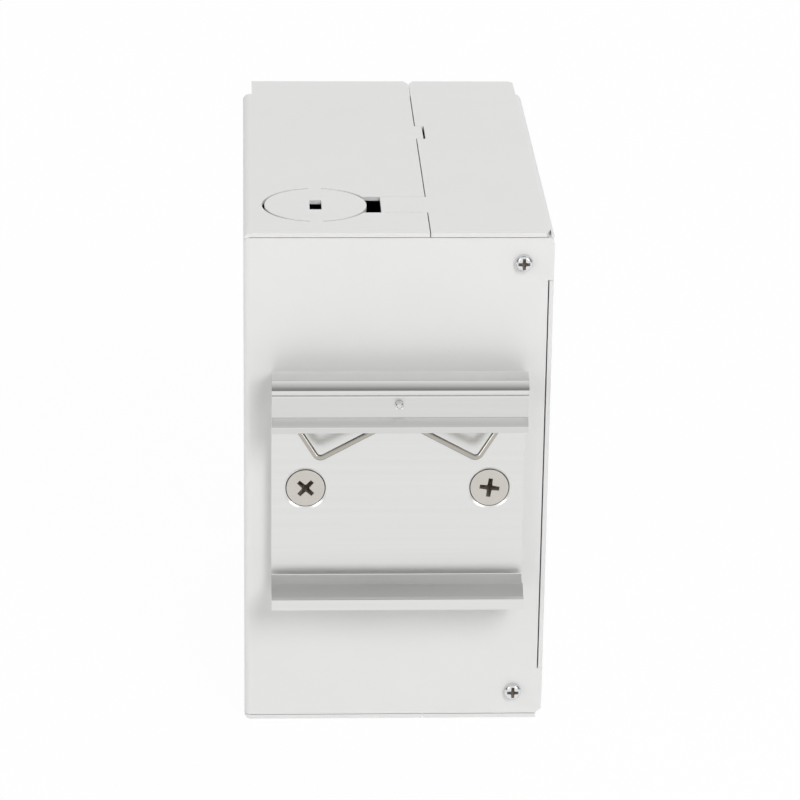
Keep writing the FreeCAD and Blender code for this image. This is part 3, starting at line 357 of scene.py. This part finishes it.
def round_edges(item, width, segments=2):
    bevel = item.modifiers.new("edge_round", "BEVEL")
    bevel.width = width
    bevel.segments = segments
    bevel.limit_method = "ANGLE"
    bevel.angle_limit = BEVEL_ANGLE
    bevel.harden_normals = True


def mesh_from(shape, name):
    """Turns a bmesh into mesh data and frees it."""
    bmesh.ops.recalc_face_normals(shape, faces=shape.faces)
    mesh = bpy.data.meshes.new(name)
    shape.to_mesh(mesh)
    shape.free()
    return mesh


def place_piece(name, mesh, material, body, where=(0, 0, 0), smooth=35):
    """Puts mesh data in the scene as a piece that rides on a body."""
    piece = bpy.data.objects.new(name, mesh)
    bpy.context.scene.collection.objects.link(piece)
    piece.location = where
    if not any(mesh.materials):
        mesh.materials.clear()
        mesh.materials.append(material)
    mesh.shade_smooth()
    mesh.set_sharp_from_angle(angle=math.radians(smooth))
    bpy.context.view_layer.update()
    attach(piece, body)
    return piece


def turned_shape(outline, steps=48):
    """Solid of revolution about Y from (radius, y) points that start and end on it."""
    shape = bmesh.new()
    rings = []
    for radius, y in outline:
        if radius < 1e-9:
            rings.append([shape.verts.new((0, y, 0))])
            continue
        rings.append([
            shape.verts.new((radius * math.cos(turn), y, radius * math.sin(turn)))
            for turn in (2 * math.pi * step / steps for step in range(steps))])
    for first, second in zip(rings, rings[1:]):
        for step in range(steps):
            after = (step + 1) % steps
            corners = [first[step % len(first)], first[after % len(first)],
                       second[after % len(second)], second[step % len(second)]]
            corners = list(dict.fromkeys(corners))
            if len(corners) > 2:
                shape.faces.new(corners)
    return shape


def cross_recess(reach, width, depth):
    """Tapered cross with four wings, open towards -Y, as a cutting shape."""
    shape = bmesh.new()
    levels = ((-depth, 1.0, 1.0), (depth * 0.15, 0.94, 0.9), (depth, 0.42, 0.62))
    rings = []
    for y, share, thick in levels:
        long_side = reach * share
        half = width / 2 * thick
        corner = half * 1.5
        quarter = [(long_side, -half), (long_side, half), (corner, half * 1.15),
                   (corner * 0.9, corner * 0.9), (half * 1.15, corner)]
        ring = []
        for turn in range(4):
            spin = Matrix.Rotation(math.pi / 2 * turn, 2)
            for point in quarter:
                x, z = spin @ Vector(point)
                ring.append(shape.verts.new((x, y, z)))
        rings.append(ring)
    count = len(rings[0])
    for first, second in zip(rings, rings[1:]):
        for step in range(count):
            after = (step + 1) % count
            shape.faces.new((first[step], first[after], second[after], second[step]))
    shape.faces.new(rings[0])
    point = shape.verts.new((0, depth * 1.25, 0))
    last = rings[-1]
    for step in range(count):
        shape.faces.new((last[step], last[(step + 1) % count], point))
    return shape


def evaluated_mesh(item):
    """Mesh data of an object with its modifiers or its bevel applied."""
    bpy.context.view_layer.update()
    graph = bpy.context.evaluated_depsgraph_get()
    return bpy.data.meshes.new_from_object(item.evaluated_get(graph))


def cut_away(mesh, cutter, material, inner=None):
    """The mesh less the cutter; the walls of the cut take the inner finish, if there is one."""
    mesh.materials.append(material)
    cutter.materials.append(inner or material)
    block = bpy.data.objects.new("block", mesh)
    tool = bpy.data.objects.new("tool", cutter)
    for item in (block, tool):
        bpy.context.scene.collection.objects.link(item)
    change = block.modifiers.new("cut", "BOOLEAN")
    change.operation = "DIFFERENCE"
    change.solver = "EXACT"
    change.use_self = True
    change.material_mode = "TRANSFER"
    change.object = tool
    result = evaluated_mesh(block)
    for item in (block, tool):
        bpy.data.objects.remove(item)
    if not result.polygons:
        raise RuntimeError("the cut left nothing of " + mesh.name)
    return result


DOME_STEPS = 8
THREAD_PITCH = 0.22
THREAD_ROOT = 0.42
THREAD_TIP = 0.38


def pan_screw_mesh(head, height, thread, length, material, open_share=1.0):
    """Pan-headed screw with a cross recess; the head points to -Y from y = 0.

    The thread's pitch, root and tip are shares of its diameter.
    """
    radius = head / 2
    outline = [(0, -height)]
    for step in range(DOME_STEPS + 1):
        turn = math.pi / 2 * step / DOME_STEPS
        across = radius * (0.45 + 0.55 * math.sin(turn))
        outline.append((across, -height * (0.35 + 0.65 * math.cos(turn))))
    outline += [(radius, -height * 0.05), (radius * 0.97, 0), (thread / 2, 0)]
    pitch = thread * THREAD_PITCH
    turns = int((length - pitch) / pitch)
    for turn in range(turns):
        start = pitch * (turn + 0.2)
        outline += [(thread * THREAD_ROOT, start), (thread / 2, start + pitch * 0.5)]
    outline += [(thread * THREAD_TIP, length - pitch * 0.3), (0, length)]
    body = mesh_from(turned_shape(outline), "pan_screw")
    recess = cross_recess(head * 0.29 * open_share, head * 0.15 * open_share, height * 0.62)
    bmesh.ops.translate(recess, vec=(0, -height, 0), verts=recess.verts)
    return cut_away(body, mesh_from(recess, "recess"), material, recess_shade())


def countersunk_screw_mesh(head, thread, length, material):
    """Countersunk screw with a cross recess; its flat face lies at y = 0, facing -Y."""
    radius = head / 2
    rim = head * 0.02
    outline = [(0, 0), (radius - rim * 1.5, 0), (radius - rim * 0.4, rim * 0.4),
               (radius, rim * 1.4), (thread / 2, rim * 1.4 + radius - thread / 2),
               (thread / 2, length), (0, length)]
    body = mesh_from(turned_shape(outline, 64), "countersunk_screw")
    recess = cross_recess(head * 0.27, head * 0.118, head * 0.27)
    return cut_away(body, mesh_from(recess, "recess"), material, recess_shade())


def welded_shape(node):
    """A CAD node as a bmesh, with its faces joined along their edges."""
    shape = bmesh.new()
    shape.from_mesh(frame["nodes"][node].data)
    bmesh.ops.remove_doubles(shape, verts=shape.verts, dist=WELD_DISTANCE)
    return shape


def welded_copy(node, middle):
    """Mesh data of a CAD node about its middle, with its faces joined."""
    shape = welded_shape(node)
    bmesh.ops.translate(shape, vec=-middle, verts=shape.verts)
    for face in shape.faces:
        face.material_index = 0
    return mesh_from(shape, node + "_copy")


def solids_of(node):
    """(lowest corner, highest corner) of each separate solid of a CAD node."""
    shape = welded_shape(node)
    shape.verts.ensure_lookup_table()
    seen = set()
    boxes = []
    for start in shape.verts:
        if start in seen:
            continue
        group = [start]
        seen.add(start)
        for vert in group:
            for edge in vert.link_edges:
                other = edge.other_vert(vert)
                if other not in seen:
                    seen.add(other)
                    group.append(other)
        low = Vector([min(vert.co[axis] for vert in group) for axis in range(3)])
        high = Vector([max(vert.co[axis] for vert in group) for axis in range(3)])
        boxes.append((low, high))
    shape.free()
    return sorted(boxes, key=lambda pair: (round(pair[0].z, 4), round(pair[0].x, 4)))


def facing_front(mesh):
    """Turns a screw that was made facing -Y so that it faces +Y."""
    mesh.transform(Matrix.Rotation(math.pi, 4, "Z"))
    return mesh


def arc_round(before, corner, after, radius, steps):
    """Points of the arc that rounds off a corner between its two neighbours."""
    arm_in = (before - corner).normalized()
    arm_out = (after - corner).normalized()
    half = arm_in.angle(arm_out) / 2
    reach = radius / math.tan(half)
    middle = corner + (arm_in + arm_out).normalized() * (radius / math.sin(half))
    start = (corner + arm_in * reach - middle).normalized()
    end = (corner + arm_out * reach - middle).normalized()
    return [middle + start.slerp(end, step / steps) * radius for step in range(steps + 1)]


def bent_wire(corners, radius, steps=7):
    """Points of a wire that runs straight between corners and round each in an arc."""
    points = [corners[0]]
    for before, corner, after in zip(corners, corners[1:], corners[2:]):
        points.extend(arc_round(before, corner, after, radius, steps))
    points.append(corners[-1])
    return points


def rounded_outline(corners, steps=6):
    """Closed outline from (depth, height, radius) corners in millimetres."""
    places = [Vector((-depth, height, 0)) / 1000 for depth, height, _ in corners]
    points = []
    for index, (_, _, radius) in enumerate(corners):
        after = places[(index + 1) % len(places)]
        if radius:
            points.extend(arc_round(places[index - 1], places[index], after, radius / 1000, steps))
        else:
            points.append(places[index])
    return points


def extruded_shape(outline, left, right):
    """Solid between two X planes from an outline whose points hold Y and Z."""
    shape = bmesh.new()
    ends = [[shape.verts.new((x, point.x, point.y)) for point in outline] for x in (left, right)]
    count = len(outline)
    for place in range(count):
        after = (place + 1) % count
        shape.faces.new((ends[0][place], ends[0][after], ends[1][after], ends[1][place]))
    for corners in tessellate_polygon([outline]):
        for end in ends:
            shape.faces.new([end[corner] for corner in corners])
    return shape


def wire_mesh(points, thickness, name):
    """A round wire through the points with rounded-off ends."""
    curve = bpy.data.curves.new(name, "CURVE")
    curve.dimensions = "3D"
    curve.bevel_depth = thickness / 2
    curve.bevel_resolution = 5
    curve.use_fill_caps = True
    line = curve.splines.new("POLY")
    line.points.add(len(points) - 1)
    for spot, point in zip(line.points, points):
        spot.co = (*point, 1.0)
    holder = bpy.data.objects.new(name, curve)
    bpy.context.scene.collection.objects.link(holder)
    mesh = evaluated_mesh(holder)
    bpy.data.objects.remove(holder)
    return mesh


def add_block(shape, low, high):
    """Adds an axis-aligned block to a bmesh."""
    low = Vector(low)
    high = Vector(high)
    made = bmesh.ops.create_cube(shape, size=1.0)
    bmesh.ops.scale(shape, vec=high - low, verts=made["verts"])
    bmesh.ops.translate(shape, vec=(high + low) / 2, verts=made["verts"])


def screw_group(name, node, mesh, head_face, material, body):
    """One piece per solid of a screw node; head_face picks the Y of the head's seat."""
    for number, (low, high) in enumerate(solids_of(node), start=1):
        middle = (low + high) / 2
        place = (middle.x, head_face(low, high), middle.z)
        piece = place_piece("%s_%d" % (name, number), mesh, material, body, place)
        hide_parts(node)


# Operators


class EnclosureShell(bpy.types.Operator):
    """Coat the folded shell, the side cover and the adapter panel"""

    bl_idname = "enclosure.shell"
    bl_label = "Shell, cover and panel"

    def execute(self, context):
        sizes = context.scene.enclosure_shell
        coat = powder_coat("shell_coating", tuple(sizes.colour), sizes.roughness)
        for node in ("base_shell", "side_cover", "adapter_panel"):
            dress(node, coat, sizes.edge)
        return {"FINISHED"}


# The clip's profile: depth behind the rear panel, height and corner radius, in millimetres
CLIP_CORNERS = (
    (0, 72.3, 0), (6.3, 75, 0.3), (8.7, 74, 0.12), (9.14, 73.06, 3.4), (10, 72.5, 0.06),
    (10, 72, 0.1), (9.2, 71.75, 0), (9.2, 71.35, 0), (9.6, 71.2, 0.06), (9.6, 70.9, 0.06),
    (8.5, 70.6, 0.15), (8.5, 66.6, 0), (8.4, 66.52, 0), (8.5, 66.45, 0), (10, 65.1, 0.1),
    (10, 63.95, 0.1), (6.8, 63.95, 0.1), (6.8, 73, 0.3), (2.3, 71.1, 0.5), (2.3, 31.8, 0.25),
    (5.0, 29.8, 0.3), (6.3, 29.8, 0.1), (6.3, 31.8, 0.15), (8.7, 29.88, 0.08),
    (9.6, 29.7, 0.25), (9.6, 27.5, 0.15), (0, 27.5, 0))

# Height in millimetres and the share of the clip's colour there: painted shade and painted light
# that stand in for the lighting of the clip's bands, not a change of material
CLIP_PAINTED_LIGHT_AND_SHADE = (
    (63.9, 1), (64, 0.9), (65, 0.9), (65.1, 1.08), (66.4, 1.08), (66.5, 0.9), (70.6, 0.92),
    (70.8, 1), (72.4, 1), (72.55, 0.58), (73.95, 0.95), (74.1, 1.04), (75.2, 1.04), (75.4, 1))


class EnclosureRailClip(bpy.types.Operator):
    """Build the extruded rail clip with its coved bead, jaws and countersinks"""

    bl_idname = "enclosure.rail_clip"
    bl_label = "Rail clip"

    def execute(self, context):
        sizes = context.scene.enclosure_clip
        # The clip's colour gets painted shade and painted light by height from the table above,
        # standing in for the lighting of its bands
        metal = extruded_metal("clip_aluminium", tuple(sizes.colour), sizes.roughness,
                               CLIP_PAINTED_LIGHT_AND_SHADE)
        low, high = node_corners("rail_clip")
        where = Vector((node_middle("rail_clip").x, high.y, 0))
        shape = extruded_shape(rounded_outline(CLIP_CORNERS), low.x - where.x, high.x - where.x)
        mesh = mesh_from(shape, "rail_clip")
        for cutter, middle in self.cutters(sizes):
            bmesh.ops.translate(cutter, vec=middle - where, verts=cutter.verts)
            mesh = cut_away(mesh, mesh_from(cutter, "bore"), metal)
        piece = place_piece("rail_clip_body", mesh, metal, BOX_BODY, where, 25)
        round_edges(piece, sizes.edge)
        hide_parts("rail_clip")
        return {"FINISHED"}

    def cutters(self, sizes):
        """(shape, place of its mouth) of both countersinks and of the pin's bore."""
        head = sizes.screw_head / 2
        lip = head + 0.0005
        wall = head + 0.00012
        hole, through = 0.0022, 0.004
        mouth = [(0, -0.001), (lip, -0.001), (lip, 0), (wall, 0.0002), (wall, 0.0004),
                 (hole, wall - 0.0018), (hole, through), (0, through)]
        for low, high in solids_of("clip_screws"):
            middle = (low + high) / 2
            yield turned_shape(mouth, 96), Vector((middle.x, low.y, middle.z))
        low, high = node_corners("spring_pin")
        bore = (high.x - low.x) / 2 + 0.00003
        drill = [(0, 0), (bore, 0), (bore, high.y - low.y), (0, high.y - low.y)]
        yield turned_shape(drill, 32), Vector(((low.x + high.x) / 2, low.y, (low.z + high.z) / 2))


# One half of the wire as straight runs: across and up from the hinge, in metres
WIRE_CORNERS = ((0.0015, 0.0), (0.0023, -0.0069), (0.0150, -0.0136), (0.0208, -0.0046))
WIRE_BEND = 0.00125


class EnclosureSpring(bpy.types.Operator):
    """Build the W-shaped wire spring under the upper jaw"""

    bl_idname = "enclosure.spring"
    bl_label = "Wire spring"

    def execute(self, context):
        sizes = context.scene.enclosure_clip
        hinge = Vector(frame["record"]["behaviour"]["joints"][0]["pos_m"])
        lean = Matrix.Rotation(-sizes.tilt, 3, "X")
        flat = [(-x, z) for x, z in reversed(WIRE_CORNERS)] + list(WIRE_CORNERS)
        corners = [hinge + lean @ Vector((x, 0, z)) for x, z in flat]
        mesh = wire_mesh(bent_wire(corners, WIRE_BEND), sizes.wire, "rail_spring_wire")
        steel = finish_of("spring_steel", bright_metal, (0.46, 0.44, 0.40), 0.08, 0.6)
        piece = place_piece("spring_wire", mesh, steel, SPRING_BODY, smooth=60)
        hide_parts("rail_spring")
        return {"FINISHED"}


class EnclosurePin(bpy.types.Operator):
    """Build the dished pin that the spring hangs on"""

    bl_idname = "enclosure.pin"
    bl_label = "Spring pin"

    def execute(self, context):
        low, high = node_corners("spring_pin")
        radius = (high.x - low.x) / 2
        length = high.y - low.y
        edge = radius * 0.22
        dish = radius * 0.55
        outline = [(0, edge), (dish, edge), (dish, edge * 0.4), (dish + edge * 0.4, 0),
                   (radius - edge, 0), (radius, edge), (radius, length), (0, length)]
        steel = finish_of("pin_steel", bright_metal, (0.74, 0.73, 0.71), 0.2, 0.6)
        where = ((low.x + high.x) / 2, low.y, (low.z + high.z) / 2)
        piece = place_piece("dished_pin", mesh_from(turned_shape(outline), "dished_pin"), steel,
                            BOX_BODY, where)
        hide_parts("spring_pin")
        return {"FINISHED"}


class EnclosureClipScrews(bpy.types.Operator):
    """Build the countersunk cross-recessed screws of the rail clip"""

    bl_idname = "enclosure.clip_screws"
    bl_label = "Clip screws"

    def execute(self, context):
        sizes = context.scene.enclosure_clip
        nickel = bright_metal("nickel_plate", (0.63, 0.605, 0.56), 0.24, 0.7)
        length = node_size("clip_screws").y
        mesh = countersunk_screw_mesh(sizes.screw_head, 0.004, length, nickel)
        turns = (math.radians(43), math.radians(7))
        screws = zip(solids_of("clip_screws"), turns)
        for number, ((low, high), turn) in enumerate(screws, start=1):
            middle = (low + high) / 2
            piece = place_piece("clip_screw_%d" % number, mesh, nickel, BOX_BODY,
                                (middle.x, low.y, middle.z))
            piece.rotation_euler = (0, turn, 0)
            bpy.context.view_layer.update()
            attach(piece, BOX_BODY)
            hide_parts("clip_screws")
        return {"FINISHED"}


# Heights of the pan heads, in metres
SMALL_HEAD = 0.0012
LARGE_HEAD = 0.002


class EnclosureCoverScrews(bpy.types.Operator):
    """Build the small pan-headed screws that hold the side cover"""

    bl_idname = "enclosure.cover_screws"
    bl_label = "Cover screws"

    def execute(self, context):
        head = node_size("cover_screws").x
        mesh = pan_screw_mesh(head, SMALL_HEAD, 0.002, 0.004, zinc_plate(), 1.2)
        screw_group("cover_screw", "cover_screws", mesh, lambda low, high: low.y + SMALL_HEAD,
                    zinc_plate(), BOX_BODY)
        return {"FINISHED"}


class EnclosureFrontScrews(bpy.types.Operator):
    """Build the pan-headed screws of the adapter panel and of the adapters"""

    bl_idname = "enclosure.front_screws"
    bl_label = "Front screws"

    def execute(self, context):
        large = facing_front(pan_screw_mesh(0.0056, LARGE_HEAD, 0.003, 0.006, zinc_plate()))
        screw_group("panel_screw", "panel_screws", large, lambda low, high: high.y - LARGE_HEAD,
                    zinc_plate(), BOX_BODY)
        small = facing_front(pan_screw_mesh(0.0034, SMALL_HEAD, 0.002, 0.004, zinc_plate()))
        screw_group("adapter_screw", "adapter_screws", small,
                    lambda low, high: high.y - SMALL_HEAD, zinc_plate(), BOX_BODY)
        return {"FINISHED"}


class EnclosureAdapters(bpy.types.Operator):
    """Build the duplex adapters and finish their alignment sleeves"""

    bl_idname = "enclosure.adapters"
    bl_label = "Adapters"

    def execute(self, context):
        sizes = context.scene.enclosure_front
        plastic = moulded_plastic("adapter_plastic", tuple(sizes.adapter_colour), 0.42)
        mesh = welded_copy(ADAPTERS[0], node_middle(ADAPTERS[0]))
        mesh = cut_away(mesh, mesh_from(self.relief(), "adapter_relief"), plastic)
        for node in ADAPTERS:
            piece = place_piece(node + "_body", mesh, plastic, BOX_BODY,
                                node_middle(node))
            round_edges(piece, 0.00015)
            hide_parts(node)
        ceramic = moulded_plastic("sleeve_ceramic", (0.86, 0.86, 0.83), 0.16)
        dress("alignment_sleeves", ceramic)
        return {"FINISHED"}

    def relief(self):
        """Sunk fields, end grooves and the parting groove of a duplex body."""
        size = node_size(ADAPTERS[0])
        side = 0.013
        top = 0.00465
        depth = 0.0002
        end = size.y / 2
        shape = bmesh.new()
        port_middle, field = 0.00635, 0.0034
        for start, stop in ((0.0038, end - 0.0022), (-end + 0.0022, -0.0012)):
            for way in (-1, 1):
                for port in (-port_middle, port_middle):
                    add_block(shape, (port - field, start, way * top - depth),
                              (port + field, stop, way * top + depth))
                add_block(shape, (way * side - depth, start, -0.0026),
                          (way * side + depth, stop, 0.0026))
                add_block(shape, (-0.0003, start - 0.0012, way * top - depth * 1.5),
                          (0.0003, stop + 0.001, way * top + depth * 1.5))
        for y in (-end + 0.0012, end - 0.0012):
            for way in (-1, 1):
                add_block(shape, (-side - depth, y - 0.0002, way * top - depth / 2),
                          (side + depth, y + 0.0002, way * top + depth / 2))
        return shape


class EnclosureCaps(bpy.types.Operator):
    """Build the dust caps in the ports"""

    bl_idname = "enclosure.caps"
    bl_label = "Dust caps"

    def execute(self, context):
        sizes = context.scene.enclosure_front
        plastic = moulded_plastic("cap_plastic", tuple(sizes.cap_colour), 0.5)
        outward = self.cap_mesh(plastic)
        inward = outward.copy()
        inward.transform(Matrix.Rotation(math.pi, 4, "Z"))
        for node in FRONT_CAPS:
            self.add_cap(node + "_body", outward, plastic, node_middle(node), node)
        for number, (low, high) in enumerate(solids_of("rear_dust_caps"), start=1):
            self.add_cap("rear_dust_cap_%d" % number, inward, plastic, (low + high) / 2,
                         "rear_dust_caps")
        return {"FINISHED"}

    def add_cap(self, name, mesh, plastic, where, node):
        piece = place_piece(name, mesh, plastic, BOX_BODY, where)
        round_edges(piece, 0.00025, 3)
        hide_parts(node)

    def cap_mesh(self, plastic):
        """Dust cap with a plug, two grip grooves above and below and a sunk front."""
        size = node_size(FRONT_CAPS[0])
        front = size.y / 2
        back = front - 0.0034
        top = size.z / 2
        groove = 0.0003
        upper = [(front, top)]
        for y in (front - 0.001, front - 0.0019):
            upper += [(y, top), (y, top - groove), (y - groove, top - groove), (y - groove, top)]
        upper.append((back, top))
        lower = [(y, -z) for y, z in reversed(upper)]
        outline = [Vector((y, z, 0)) for y, z in upper + lower]
        head = mesh_from(extruded_shape(outline, -size.x / 2, size.x / 2), "cap_head")
        pocket = bmesh.new()
        add_block(pocket, (-0.0040, front - 0.0007, -0.0029), (0.0040, front + 0.001, 0.0029))
        mesh = cut_away(head, mesh_from(pocket, "cap_pocket"), plastic)
        shape = bmesh.new()
        shape.from_mesh(mesh)
        add_block(shape, (-0.00435, -front, -0.00355), (0.00435, back, 0.00355))
        shape.to_mesh(mesh)
        shape.free()
        return mesh


class EnclosureInside(bpy.types.Operator):
    """Finish the splice tray and the small parts inside the box"""

    bl_idname = "enclosure.inside"
    bl_label = "Inside parts"

    def execute(self, context):
        tray = moulded_plastic("tray_plastic", (0.42, 0.43, 0.44), 0.5)
        dress("splice_tray", tray, 0.0002)
        lid = clear_plastic("lid_plastic", (0.85, 0.88, 0.9))
        dress("splice_tray_lid", lid, 0.0001)
        rubber = moulded_plastic("comb_rubber", (0.035, 0.035, 0.038), 0.72)
        for node in ("splice_comb_1", "splice_comb_2"):
            dress(node, rubber, 0.0002)
        for node in ("clip_nuts", "panel_nuts", "tray_standoffs", "tray_screws", "cable_anchor",
                     "anchor_stud", "anchor_nut"):
            dress(node, zinc_plate(), 0.0001)
        return {"FINISHED"}


# Name, place, size and share of the key light's power of each lamp
LAMPS = (
    ("key_light", (0.55, -1.15, 0.95), 0.7, 1.0),
    ("side_light", (-1.1, -0.5, 0.55), 0.9, 0.35),
    ("back_light", (0.3, 1.1, 0.9), 0.9, 0.55))
FLOOR_RADIUS = 4.0
FLOOR_DROP = 0.0002
FLOOR_WHITE = 0.96


class EnclosureStage(bpy.types.Operator):
    """Set up the camera, the lights, the sky and the pale floor"""

    bl_idname = "enclosure.stage"
    bl_label = "Stage"

    def execute(self, context):
        sizes = context.scene.enclosure_stage
        scene = context.scene
        scene.view_settings.view_transform = "Standard"
        self.add_camera(scene, sizes)
        self.add_sky(scene, sizes.sky)
        low, high = (Vector(corner) for corner in CAD_BOX)
        middle = (low + high) / 2
        for name, where, size, share in LAMPS:
            self.add_light(scene, name, where, middle, size, sizes.key_power * share)
        for side in (-1, 1):
            glint = self.add_light(scene, "glint", (0.7 * side, -1.0, 0.52), middle, 0.4, 1.2)
            glint.visible_glossy = True
            glint.visible_diffuse = False
        self.add_floor(scene)
        return {"FINISHED"}

    def add_camera(self, scene, sizes):
        lens = bpy.data.cameras.new("camera")
        lens.sensor_width = 36.0
        lens.lens = sizes.focal_length
        lens.clip_start = 0.01
        camera = bpy.data.objects.new("camera", lens)
        scene.collection.objects.link(camera)
        pitch, yaw, roll = sizes.camera_pitch, sizes.camera_yaw, sizes.camera_roll
        ahead = Vector((math.sin(yaw) * math.cos(pitch), math.cos(yaw) * math.cos(pitch),
                        -math.sin(pitch)))
        level = Vector((math.cos(yaw), -math.sin(yaw), 0))
        upright = level.cross(ahead)
        right = level * math.cos(roll) + upright * math.sin(roll)
        up = upright * math.cos(roll) - level * math.sin(roll)
        turn = Matrix((right, up, -ahead)).transposed().to_4x4()
        camera.matrix_world = Matrix.Translation(Vector(sizes.camera_place)) @ turn
        scene.camera = camera

    def add_light(self, scene, name, where, target, size, power):
        lamp = bpy.data.lights.new(name, "AREA")
        lamp.shape = "DISK"
        lamp.size = size
        lamp.energy = power
        light = bpy.data.objects.new(name, lamp)
        scene.collection.objects.link(light)
        light.location = where
        light.visible_glossy = False
        light.rotation_euler = (target - Vector(where)).to_track_quat("-Z", "Y").to_euler()
        return light

    def white_for_eyes(self, tree):
        """1 for camera, glossy and transmission rays, 0 for rays that carry light."""
        rays = tree.nodes.new("ShaderNodeLightPath")
        both = tree.nodes.new("ShaderNodeMath")
        both.operation = "MAXIMUM"
        tree.links.new(rays.outputs["Is Camera Ray"], both.inputs[0])
        tree.links.new(rays.outputs["Is Glossy Ray"], both.inputs[1])
        every = tree.nodes.new("ShaderNodeMath")
        every.operation = "MAXIMUM"
        tree.links.new(both.outputs["Value"], every.inputs[0])
        tree.links.new(rays.outputs["Is Transmission Ray"], every.inputs[1])
        return every.outputs["Value"]

    def add_sky(self, scene, level):
        world = bpy.data.worlds.new("studio")
        world.use_nodes = True
        tree = world.node_tree
        sky = tree.nodes["Background"]
        sky.inputs["Color"].default_value = (1, 1, 1, 1)
        sky.inputs["Strength"].default_value = level
        white = tree.nodes.new("ShaderNodeBackground")
        white.inputs["Strength"].default_value = 1.0
        self.darken_overhead(tree, white)
        mix = tree.nodes.new("ShaderNodeMixShader")
        tree.links.new(self.white_for_eyes(tree), mix.inputs["Fac"])
        tree.links.new(sky.outputs["Background"], mix.inputs[1])
        tree.links.new(white.outputs["Background"], mix.inputs[2])
        tree.links.new(mix.outputs["Shader"], tree.nodes["World Output"].inputs["Surface"])
        scene.world = world

    def darken_overhead(self, tree, white):
        """Metal sees the white surround turn grey overhead and dark at the sides."""
        place = tree.nodes.new("ShaderNodeTexCoord")
        parts = tree.nodes.new("ShaderNodeSeparateXYZ")
        tree.links.new(place.outputs["Generated"], parts.inputs["Vector"])
        ramp = tree.nodes.new("ShaderNodeValToRGB")
        fill_ramp(ramp, ((0.35, (1, 1, 1)), (0.9, (0.78, 0.78, 0.77)), (1.0, (0.28, 0.28, 0.29))))
        tree.links.new(parts.outputs["Z"], ramp.inputs["Fac"])
        sideways = tree.nodes.new("ShaderNodeMath")
        sideways.operation = "ABSOLUTE"
        tree.links.new(parts.outputs["X"], sideways.inputs[0])
        walls = tree.nodes.new("ShaderNodeValToRGB")
        fill_ramp(walls, ((0.62, (1, 1, 1)), (0.86, (0.16, 0.16, 0.17))))
        tree.links.new(sideways.outputs["Value"], walls.inputs["Fac"])
        room = tree.nodes.new("ShaderNodeMix")
        room.data_type = "RGBA"
        room.blend_type = "MULTIPLY"
        room.inputs["Factor"].default_value = 1.0
        tree.links.new(ramp.outputs["Color"], room.inputs["A"])
        tree.links.new(walls.outputs["Color"], room.inputs["B"])
        rays = tree.nodes.new("ShaderNodeLightPath")
        choice = tree.nodes.new("ShaderNodeMix")
        choice.data_type = "RGBA"
        choice.inputs["A"].default_value = (1, 1, 1, 1)
        tree.links.new(rays.outputs["Is Glossy Ray"], choice.inputs["Factor"])
        tree.links.new(room.outputs["Result"], choice.inputs["B"])
        tree.links.new(choice.outputs["Result"], white.inputs["Color"])

    def add_floor(self, scene):
        shape = bmesh.new()
        bmesh.ops.create_circle(shape, cap_ends=True, radius=FLOOR_RADIUS, segments=64)
        mesh = bpy.data.meshes.new("floor")
        shape.to_mesh(mesh)
        shape.free()
        floor = bpy.data.objects.new("floor", mesh)
        floor.location = (0, 0, -FLOOR_DROP)
        scene.collection.objects.link(floor)
        material = bpy.data.materials.new("floor_paint")
        material.use_nodes = True
        tree = material.node_tree
        paint = tree.nodes["Principled BSDF"]
        paint.inputs["Base Color"].default_value = (0.95, 0.95, 0.95, 1)
        paint.inputs["Roughness"].default_value = 0.9
        white = tree.nodes.new("ShaderNodeEmission")
        white.inputs["Strength"].default_value = 1.0
        share = tree.nodes.new("ShaderNodeMath")
        share.operation = "MULTIPLY"
        share.inputs[1].default_value = FLOOR_WHITE
        tree.links.new(self.white_for_eyes(tree), share.inputs[0])
        mix = tree.nodes.new("ShaderNodeMixShader")
        tree.links.new(share.outputs["Value"], mix.inputs["Fac"])
        tree.links.new(paint.outputs["BSDF"], mix.inputs[1])
        tree.links.new(white.outputs["Emission"], mix.inputs[2])
        tree.links.new(mix.outputs["Shader"], tree.nodes["Material Output"].inputs["Surface"])
        mesh.materials.append(material)


OPERATORS = (
    EnclosureStage, EnclosureShell, EnclosureRailClip, EnclosureSpring, EnclosurePin,
    EnclosureClipScrews, EnclosureCoverScrews, EnclosureFrontScrews, EnclosureAdapters,
    EnclosureCaps, EnclosureInside)


class EnclosurePanel(bpy.types.Panel):
    """Lists the pieces of the enclosure and their sizes"""

    bl_idname = "VIEW3D_PT_enclosure"
    bl_label = "Fibre enclosure"
    bl_space_type = "VIEW_3D"
    bl_region_type = "UI"
    bl_category = "Enclosure"

    def draw(self, context):
        for attribute in SETTINGS:
            group = getattr(context.scene, attribute)
            column = self.layout.column(align=True)
            for name in group.bl_rna.properties.keys():
                if name not in ("rna_type", "name"):
                    column.prop(group, name)
        for operator in OPERATORS:
            self.layout.operator(operator.bl_idname)


SETTINGS = {
    "enclosure_shell": EnclosureShellSettings,
    "enclosure_clip": EnclosureClipSettings,
    "enclosure_front": EnclosureFrontSettings,
    "enclosure_stage": EnclosureStageSettings,
}


def register():
    for attribute, group in SETTINGS.items():
        bpy.utils.register_class(group)
        setattr(bpy.types.Scene, attribute, PointerProperty(type=group))
    for operator in OPERATORS:
        bpy.utils.register_class(operator)
    bpy.utils.register_class(EnclosurePanel)


def unregister():
    bpy.utils.unregister_class(EnclosurePanel)
    for operator in reversed(OPERATORS):
        bpy.utils.unregister_class(operator)
    for attribute, group in SETTINGS.items():
        delattr(bpy.types.Scene, attribute)
        bpy.utils.unregister_class(group)


def main():
    register()
    for operator in OPERATORS:
        category, name = operator.bl_idname.split(".")
        getattr(getattr(bpy.ops, category), name)()


if __name__ == "__main__":
    main()
